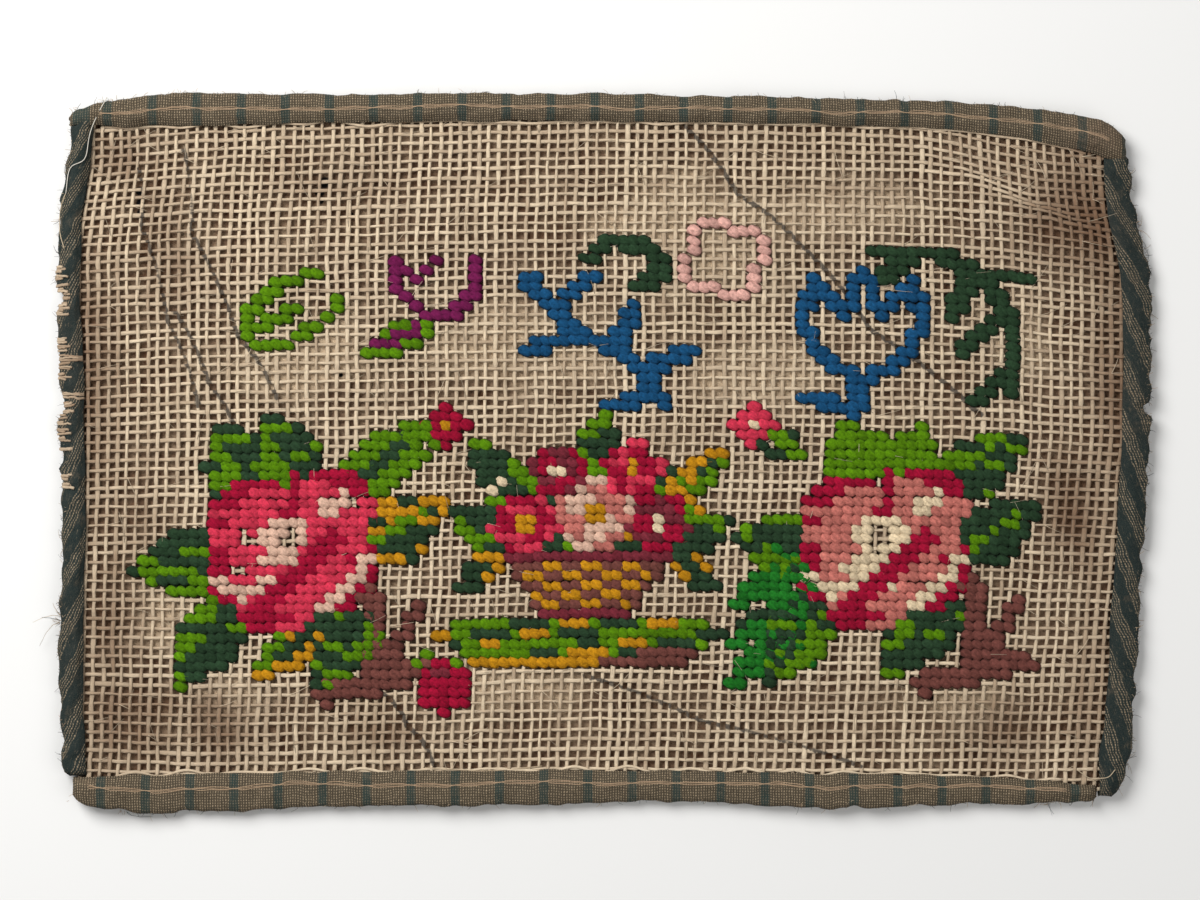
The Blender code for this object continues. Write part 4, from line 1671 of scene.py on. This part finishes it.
def unfinished_lines():
    """Outlines above the flowers that were begun and left, each a flower, a leaf or a spray of its own."""
    leaf = Chart(-36, 13)
    leaf.rim("bright", (0, 0), (11, 7), 3.0, 0.78)
    leaf.line("bright", (1, 1), (5, 3))
    cup = Chart(-17, 18)
    cup.line("purple", (-4, 3), (-4, 0), (-1, -3), (2, -3), (4, 0), (4, 3), thick=0.6)
    cup.line("purple", (-4, 3), (-2, 1), (0, 3), thick=0.55)
    cup.leaf("bright", "bright", (-1, -4), (-7, -7), 1.4, vein="purple")
    branch = Chart(0, 10)
    branch.line("blue", (6, -5), (3, 0), (-3, 3), (-8, 9), thick=0.8)
    branch.line("blue", (4, -1), (9, 1), thick=0.75)
    branch.line("blue", (1, 1), (3, 6), thick=0.75)
    branch.line("blue", (-2, 3), (-8, 1), thick=0.75)
    branch.line("blue", (-5, 6), (-1, 9), thick=0.75)
    branch.line("blue", (5, -4), (0, -5), thick=0.75)
    ring = Chart(12, 21)
    ring.ring("faded", 0, 0, 3.7, 4, 0.24)
    scroll = Chart(3, 19)
    scroll.line("dark", (-5, 2), (-2, 4), (2, 3), (3, 0), (0, -1), thick=0.75)
    tulip = Chart(26, 12)
    tulip.line("blue", (-5, 7), (-6, 2), (-4, -2), (0, -4), (4, -2), (6, 2), (5, 7), thick=0.75)
    tulip.line("blue", (-5, 7), (-2, 3), (0, 8), (2, 3), (5, 7), thick=0.7)
    tulip.line("blue", (0, -4), (-1, -8), thick=0.75)
    tulip.line("blue", (-1, -7), (-6, -6), thick=0.6)
    plume = Chart(37, 20)
    plume.line("dark", (-10, 2), (-4, 2), (1, 0), (4, -5), (4, -13), thick=0.85)
    plume.line("dark", (-6, 2), (-9, -1), thick=0.75)
    plume.line("dark", (0, 0), (-2, -5), thick=0.75)
    plume.line("dark", (3, -4), (-1, -9), thick=0.75)
    plume.line("dark", (4, -11), (0, -14), thick=0.75)
    plume.line("dark", (1, 0), (6, 0), thick=0.7)
    return [leaf, cup, branch, ring, scroll, tulip, plume]


def work():
    """The charts of each piece of wool work."""
    florets = [
        floret(-16, 3, "crimson", "ochre", "bright", -1),
        floret(15, 3, "coral", "cream", "bright", 1),
    ]
    return {
        "wool_flower_left": [flower_left()],
        "wool_basket": [basket()],
        "wool_flower_right": [flower_right()],
        "wool_florets": florets,
        "wool_fern": [fern(18, -10)],
        "wool_twigs": [stem(-23, -25, True), stem(38, -24, False)],
        "wool_outlines": unfinished_lines(),
    }


# A stitch from the hole at its upper left to the one at its lower right: steps in shares of a column and of a
# row, rise over the cloth's top in millimetres, and breadth
STITCH_ACROSS, STITCH_DOWN, STITCH_RISE, STITCH_BREADTH = place_table("""
    -0.60  -0.38  -0.80  0.62
    -0.52  -0.26   0.17  0.93
    -0.25  -0.13   0.29  1.00
     0.00   0.00   0.31  1.01
     0.25   0.13   0.25  1.00
     0.50   0.26   0.04  0.95
     0.60   0.38  -0.80  0.66
""")


class SAMPLER_OT_wool(Operator):
    """Work the wool stitches, one over each crossing"""
    bl_idname = "sampler.wool"
    bl_label = "Work the wool"

    # Fibres that stand off each stitch, and their thickness
    FUZZ = 2
    FUZZ_THICKNESS = 0.10

    # Unevenness of the stitches: of their place along the canvas, plumpness, height, lift and tint
    SLACK, PLUMPNESS, TALLNESS, LIFT, TINT = 0.035, 0.07, 0.06, 0.05, 0.10

    def execute(self, context):
        wool = context.scene.sampler_wool
        weave = woven(context)
        finish = wool_finish()
        for name, charts in work().items():
            piece = self.stitches(name + "_stitches", charts, weave, wool, finish)
            if name in MOTIF_NODES:
                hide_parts(name)
        return {"FINISHED"}

    def stitches(self, name, charts, weave, wool, finish):
        draw = random(name)
        parts = [chart.placed() for chart in charts]
        columns = np.concatenate([part[0] for part in parts])
        rows = np.concatenate([part[1] for part in parts])
        labels = [label for part in parts for label in part[2]]
        tints = np.array([tuple(getattr(wool, label)) for label in labels])
        count = len(columns)
        slack = draw.normal(0, self.SLACK, (count, 2))
        across = columns[:, None] + STITCH_ACROSS + slack[:, :1]
        down = rows[:, None] - STITCH_DOWN + slack[:, 1:]
        paths = weave.place(across, down)
        plump = np.clip(draw.normal(1, self.PLUMPNESS, (count, 1)), 0.82, 1.18)
        lift = np.where(STITCH_RISE > 0, STITCH_RISE * plump, STITCH_RISE)
        lift = weave.place(columns, rows)[:, None, 2] + lift
        paths[:, :, 2] = lift + draw.normal(0, self.LIFT, (count, 1))
        half = wool.width / MM / 2 * STITCH_BREADTH * plump
        uneven = np.clip(draw.normal(1, self.TALLNESS, (count, 1)), 0.85, 1.15)
        tall = wool.height / MM / 2 * STITCH_BREADTH * uneven
        level = np.clip(draw.normal(1, self.TINT, (count, 1)), 0.72, 1.28)
        bundle = Bundle()
        strands(bundle, paths, half, tall, PLUMP, lot=draw.random(count), tint=tints * level)
        self.fuzz(bundle, draw, paths, half, tints * level)
        mark_depth(bundle, 0.80, 1.05)
        return bundle.piece(name, finish, "wool_yarn")

    def fuzz(self, bundle, draw, paths, half, tints):
        """Short fibres that stand off the wool and blur its edges."""
        pick = np.repeat(np.arange(len(paths)), self.FUZZ)
        at = draw.integers(1, paths.shape[1] - 1, len(pick))
        side = draw.uniform(-0.95, 0.95, len(pick))
        off = np.stack([0.3 * side, 0.9 * side, 0.55 * (1 - side ** 2)], 1)
        roots = paths[pick, at] + off * half[pick, at][:, None]
        turn = draw.normal(-0.5, 0.9, len(pick))
        headings = np.stack([np.cos(turn), np.sin(turn), draw.normal(0.15, 0.3, len(pick))], 1)
        lengths = draw.uniform(0.5, 1.5, len(pick))
        shades = tints[pick] * draw.uniform(0.8, 1.5, (len(pick), 1))
        hairs(bundle, draw, roots, headings, lengths, self.FUZZ_THICKNESS, shades, 0.5, 0.1)


def wool_finish():
    """Soft plied wool: fibres along the stitch, a slow twist, and shade between the stitches."""
    made = Finish("wool_yarn", roughness=1.0, sheen=0.02, specular=0.02)
    along, around, lot = made.split(made.mark("run", "Vector"))
    fibres = made.noise(made.joined(along * 0.8, around * 1.9, lot * 70.0), 1.4, 4.0, 0.7)
    twist = ((along * 1.1 + around * 2.6 + lot * 9.0) * 1.9).sine() * 0.5 + 0.5
    fuzz = made.noise(made.joined(along, around, lot * 40.0), 1.7, 4.0, 0.75)
    grain = fibres.step(0.34, 0.66) * 0.32 + fuzz.step(0.36, 0.64) * 0.28 + twist * 0.10
    # Painted shade: the wool darkens towards the foot of each stitch, in the gaps between stitches and rows
    shade = (0.64 + grain) * (1.04 - made.mark("depth").step(0.18, 1.0) * 0.64)
    colour = made.shaded(made.mark("tint", "Color"), shade)
    return made.finished(colour, fibres * 0.9 + twist * 0.4 + fuzz * 0.7, 0.30)


class SAMPLER_OT_loose_threads(Operator):
    """Lay the broken sewing threads and tufts of fibre"""
    bl_idname = "sampler.loose_threads"
    bl_label = "Lay the loose threads"
    SEWING_THICKNESS = 0.22
    SEWING_POINTS = 28
    TUFT_THICKNESS = 0.15

    # Broken sewing threads on the cloth: tint, lift over what is under them, and the way they run
    SEWING = (
        (
            (0.62, 0.58, 0.50),
            0.40,
            ((-127.0, 90.6), (-131.0, 82.0), (-132.5, 75.0), (-136.4, 72.4), (-137.6, 66.0)),
        ),
        ((0.50, 0.40, 0.27), 0.12, ((-137.4, 66.8), (-139.2, 62.0), (-139.3, 57.0), (-138.0, 52.0))),
        ((0.50, 0.40, 0.27), 0.12, ((120.6, -81.0), (124.0, -83.2), (128.0, -82.8), (130.0, -80.8))),
        ((0.45, 0.34, 0.22), 0.10, ((-46.0, -80.6), (-30.0, -81.4), (-16.0, -80.2))),
    )

    # Tufts of frayed fibre: x, y, height, heading, spread, how many, mean length
    TUFTS = place_table("""
        -127   90.5  3.4  110  70  22  1.2
        -137   86.0  3.0  165  60  26  1.4
        -108   91.4  3.4   95  60  22  1.0
        -139   58.0  2.0  185  60  30  1.6
        -140  -42.0  2.0  170  40  18  4.2
        -124  -90.5  2.2  265  50  20  3.4
        -133  -88.0  2.2  235  60  30  1.6
         113  -89.6  2.2  290  50  20  2.6
         130  -84.0  2.4  330  60  30  1.8
         135   58.0  2.4   15  60  40  1.9
         136   50.0  2.4  -10  60  40  1.9
         134  -80.0  2.2   -5  60  26  1.8
    """).T

    def execute(self, context):
        binding = context.scene.sampler_binding
        canvas = context.scene.sampler_canvas
        finish = fibre_finish("loose_fibre")
        depsgraph = context.evaluated_depsgraph_get()
        trees = [BVHTree.FromObject(bpy.data.objects[name + "_cloth"], depsgraph) for name in EDGES]
        draw = random("loose")
        bundle = Bundle()
        for tint, lift, route in self.SEWING:
            flat = smoothed(route, self.SEWING_POINTS)
            z = np.array([self.top(trees, x, y) for x, y in flat]) + lift
            z = np.convolve(np.pad(z, 2, mode="edge"), np.ones(5) / 5, mode="valid")
            half = np.full((1, self.SEWING_POINTS), self.SEWING_THICKNESS / 2)
            path = np.concatenate([flat, z[:, None]], 1)[None]
            strands(bundle, path, half, half, RIBBON, lot=draw.random(1), tint=np.array([tint]))
        bundle.piece("broken_sewing_threads", finish, "binding_check")
        shades = (binding.speck_colour, canvas.worn_colour, binding.band_colour, binding.cord_colour)
        shades = np.array(shades)
        tufts = Bundle()
        for x, y, z, heading, spread, count, length in self.TUFTS:
            count = int(count)
            turn = np.radians(heading + draw.normal(0, spread, count) * 0.6)
            roots = np.array((x, y, z)) + draw.normal(0, (1.6, 1.6, 0.35), (count, 3))
            room = np.minimum(room_to_fold(roots[:, 0], roots[:, 1]), 0)
            roots[:, 0] += np.cos(radians(heading)) * room
            roots[:, 1] += np.sin(radians(heading)) * room
            headings = np.stack([np.cos(turn), np.sin(turn), draw.normal(0.05, 0.25, count)], 1)
            lengths = np.clip(draw.exponential(length * 0.45, count), 0.4, length * 1.3)
            tints = shades[draw.integers(0, 4, count)] * draw.uniform(0.8, 1.3, (count, 1))
            hairs(tufts, draw, roots, headings, lengths, self.TUFT_THICKNESS, tints, 1.1, 0.3)
        tufts.piece("frayed_tufts", finish, "binding_check")
        return {"FINISHED"}

    def top(self, trees, x, y):
        """Height of the binding or, past it, of the canvas under a place."""
        start = Vector((x * MM, y * MM, 0.03))
        hits = [tree.ray_cast(start, DOWNWARD)[0] for tree in trees]
        heights = [hit.z / MM for hit in hits if hit is not None]
        return max(heights, default=float(cloth_top(np.array(x), np.array(y))))


class SAMPLER_OT_stage(Operator):
    """Set the pale floor, the soft lights and the camera straight above"""
    bl_idname = "sampler.stage"
    bl_label = "Set the stage"
    FLOOR_HALF = 3.0
    SENSOR = 36.0

    # Place and size of each light, in metres
    KEY = ((-0.42, 0.40, 0.62), 0.55)
    FILL = ((0.60, -0.30, 0.75), 0.9)

    def execute(self, context):
        stage = context.scene.sampler_stage
        bpy.ops.mesh.primitive_plane_add(size=2 * self.FLOOR_HALF, location=(0, 0, 0))
        floor = context.object
        floor.name = "floor"
        finish = Finish("floor_paper", roughness=0.9, specular=0.2)
        finish.shader.inputs["Base Color"].default_value = (*stage.floor_colour, 1)
        floor.data.materials.append(finish.material)
        self.light("key_light", *self.KEY, stage.key_power)
        self.light("fill_light", *self.FILL, stage.fill_power)
        world = bpy.data.worlds.new("studio")
        world.use_nodes = True
        background = world.node_tree.nodes["Background"]
        background.inputs["Color"].default_value = (1, 1, 1, 1)
        background.inputs["Strength"].default_value = stage.sky
        context.scene.world = world
        camera = bpy.data.objects.new("camera", bpy.data.cameras.new("camera"))
        context.scene.collection.objects.link(camera)
        camera.data.lens = stage.lens
        camera.data.sensor_width = self.SENSOR
        camera.location = (stage.view_x, stage.view_y, stage.view_width * stage.lens / self.SENSOR)
        context.scene.camera = camera
        context.scene.view_settings.view_transform = "Standard"
        return {"FINISHED"}

    def light(self, name, place, size, power):
        data = bpy.data.lights.new(name, "AREA")
        data.shape = "DISK"
        data.size = size
        data.energy = power
        lamp = bpy.data.objects.new(name, data)
        bpy.context.scene.collection.objects.link(lamp)
        lamp.location = place
        lamp.rotation_mode = "QUATERNION"
        lamp.rotation_quaternion = Vector(place).to_track_quat("Z", "Y")


class SAMPLER_PT_panel(Panel):
    """Lists the steps that make the sampler"""
    bl_idname = "SAMPLER_PT_panel"
    bl_label = "Sampler"
    bl_space_type = "VIEW_3D"
    bl_region_type = "UI"
    bl_category = "Sampler"

    def draw(self, context):
        for step in STEPS:
            self.layout.operator(step.bl_idname)
        for name in PROPERTIES:
            group = getattr(context.scene, name)
            box = self.layout.box()
            for key in group.bl_rna.properties.keys()[2:]:
                box.prop(group, key)


STEPS = (
    SAMPLER_OT_stage,
    SAMPLER_OT_canvas,
    SAMPLER_OT_lining,
    SAMPLER_OT_bindings,
    SAMPLER_OT_wool,
    SAMPLER_OT_loose_threads,
)
PROPERTIES = {
    "sampler_canvas": SamplerCanvas,
    "sampler_binding": SamplerBinding,
    "sampler_wool": SamplerWool,
    "sampler_stage": SamplerStage,
}


def register():
    for made in (*PROPERTIES.values(), *STEPS, SAMPLER_PT_panel):
        bpy.utils.register_class(made)
    for name, group in PROPERTIES.items():
        setattr(bpy.types.Scene, name, PointerProperty(type=group))


def unregister():
    for name in PROPERTIES:
        delattr(bpy.types.Scene, name)
    for made in (SAMPLER_PT_panel, *reversed(STEPS), *PROPERTIES.values()):
        bpy.utils.unregister_class(made)


def main():
    register()
    bpy.ops.sampler.stage()
    bpy.ops.sampler.canvas()
    bpy.ops.sampler.lining()
    bpy.ops.sampler.bindings()
    bpy.ops.sampler.wool()
    bpy.ops.sampler.loose_threads()


if __name__ == "__main__":
    main()
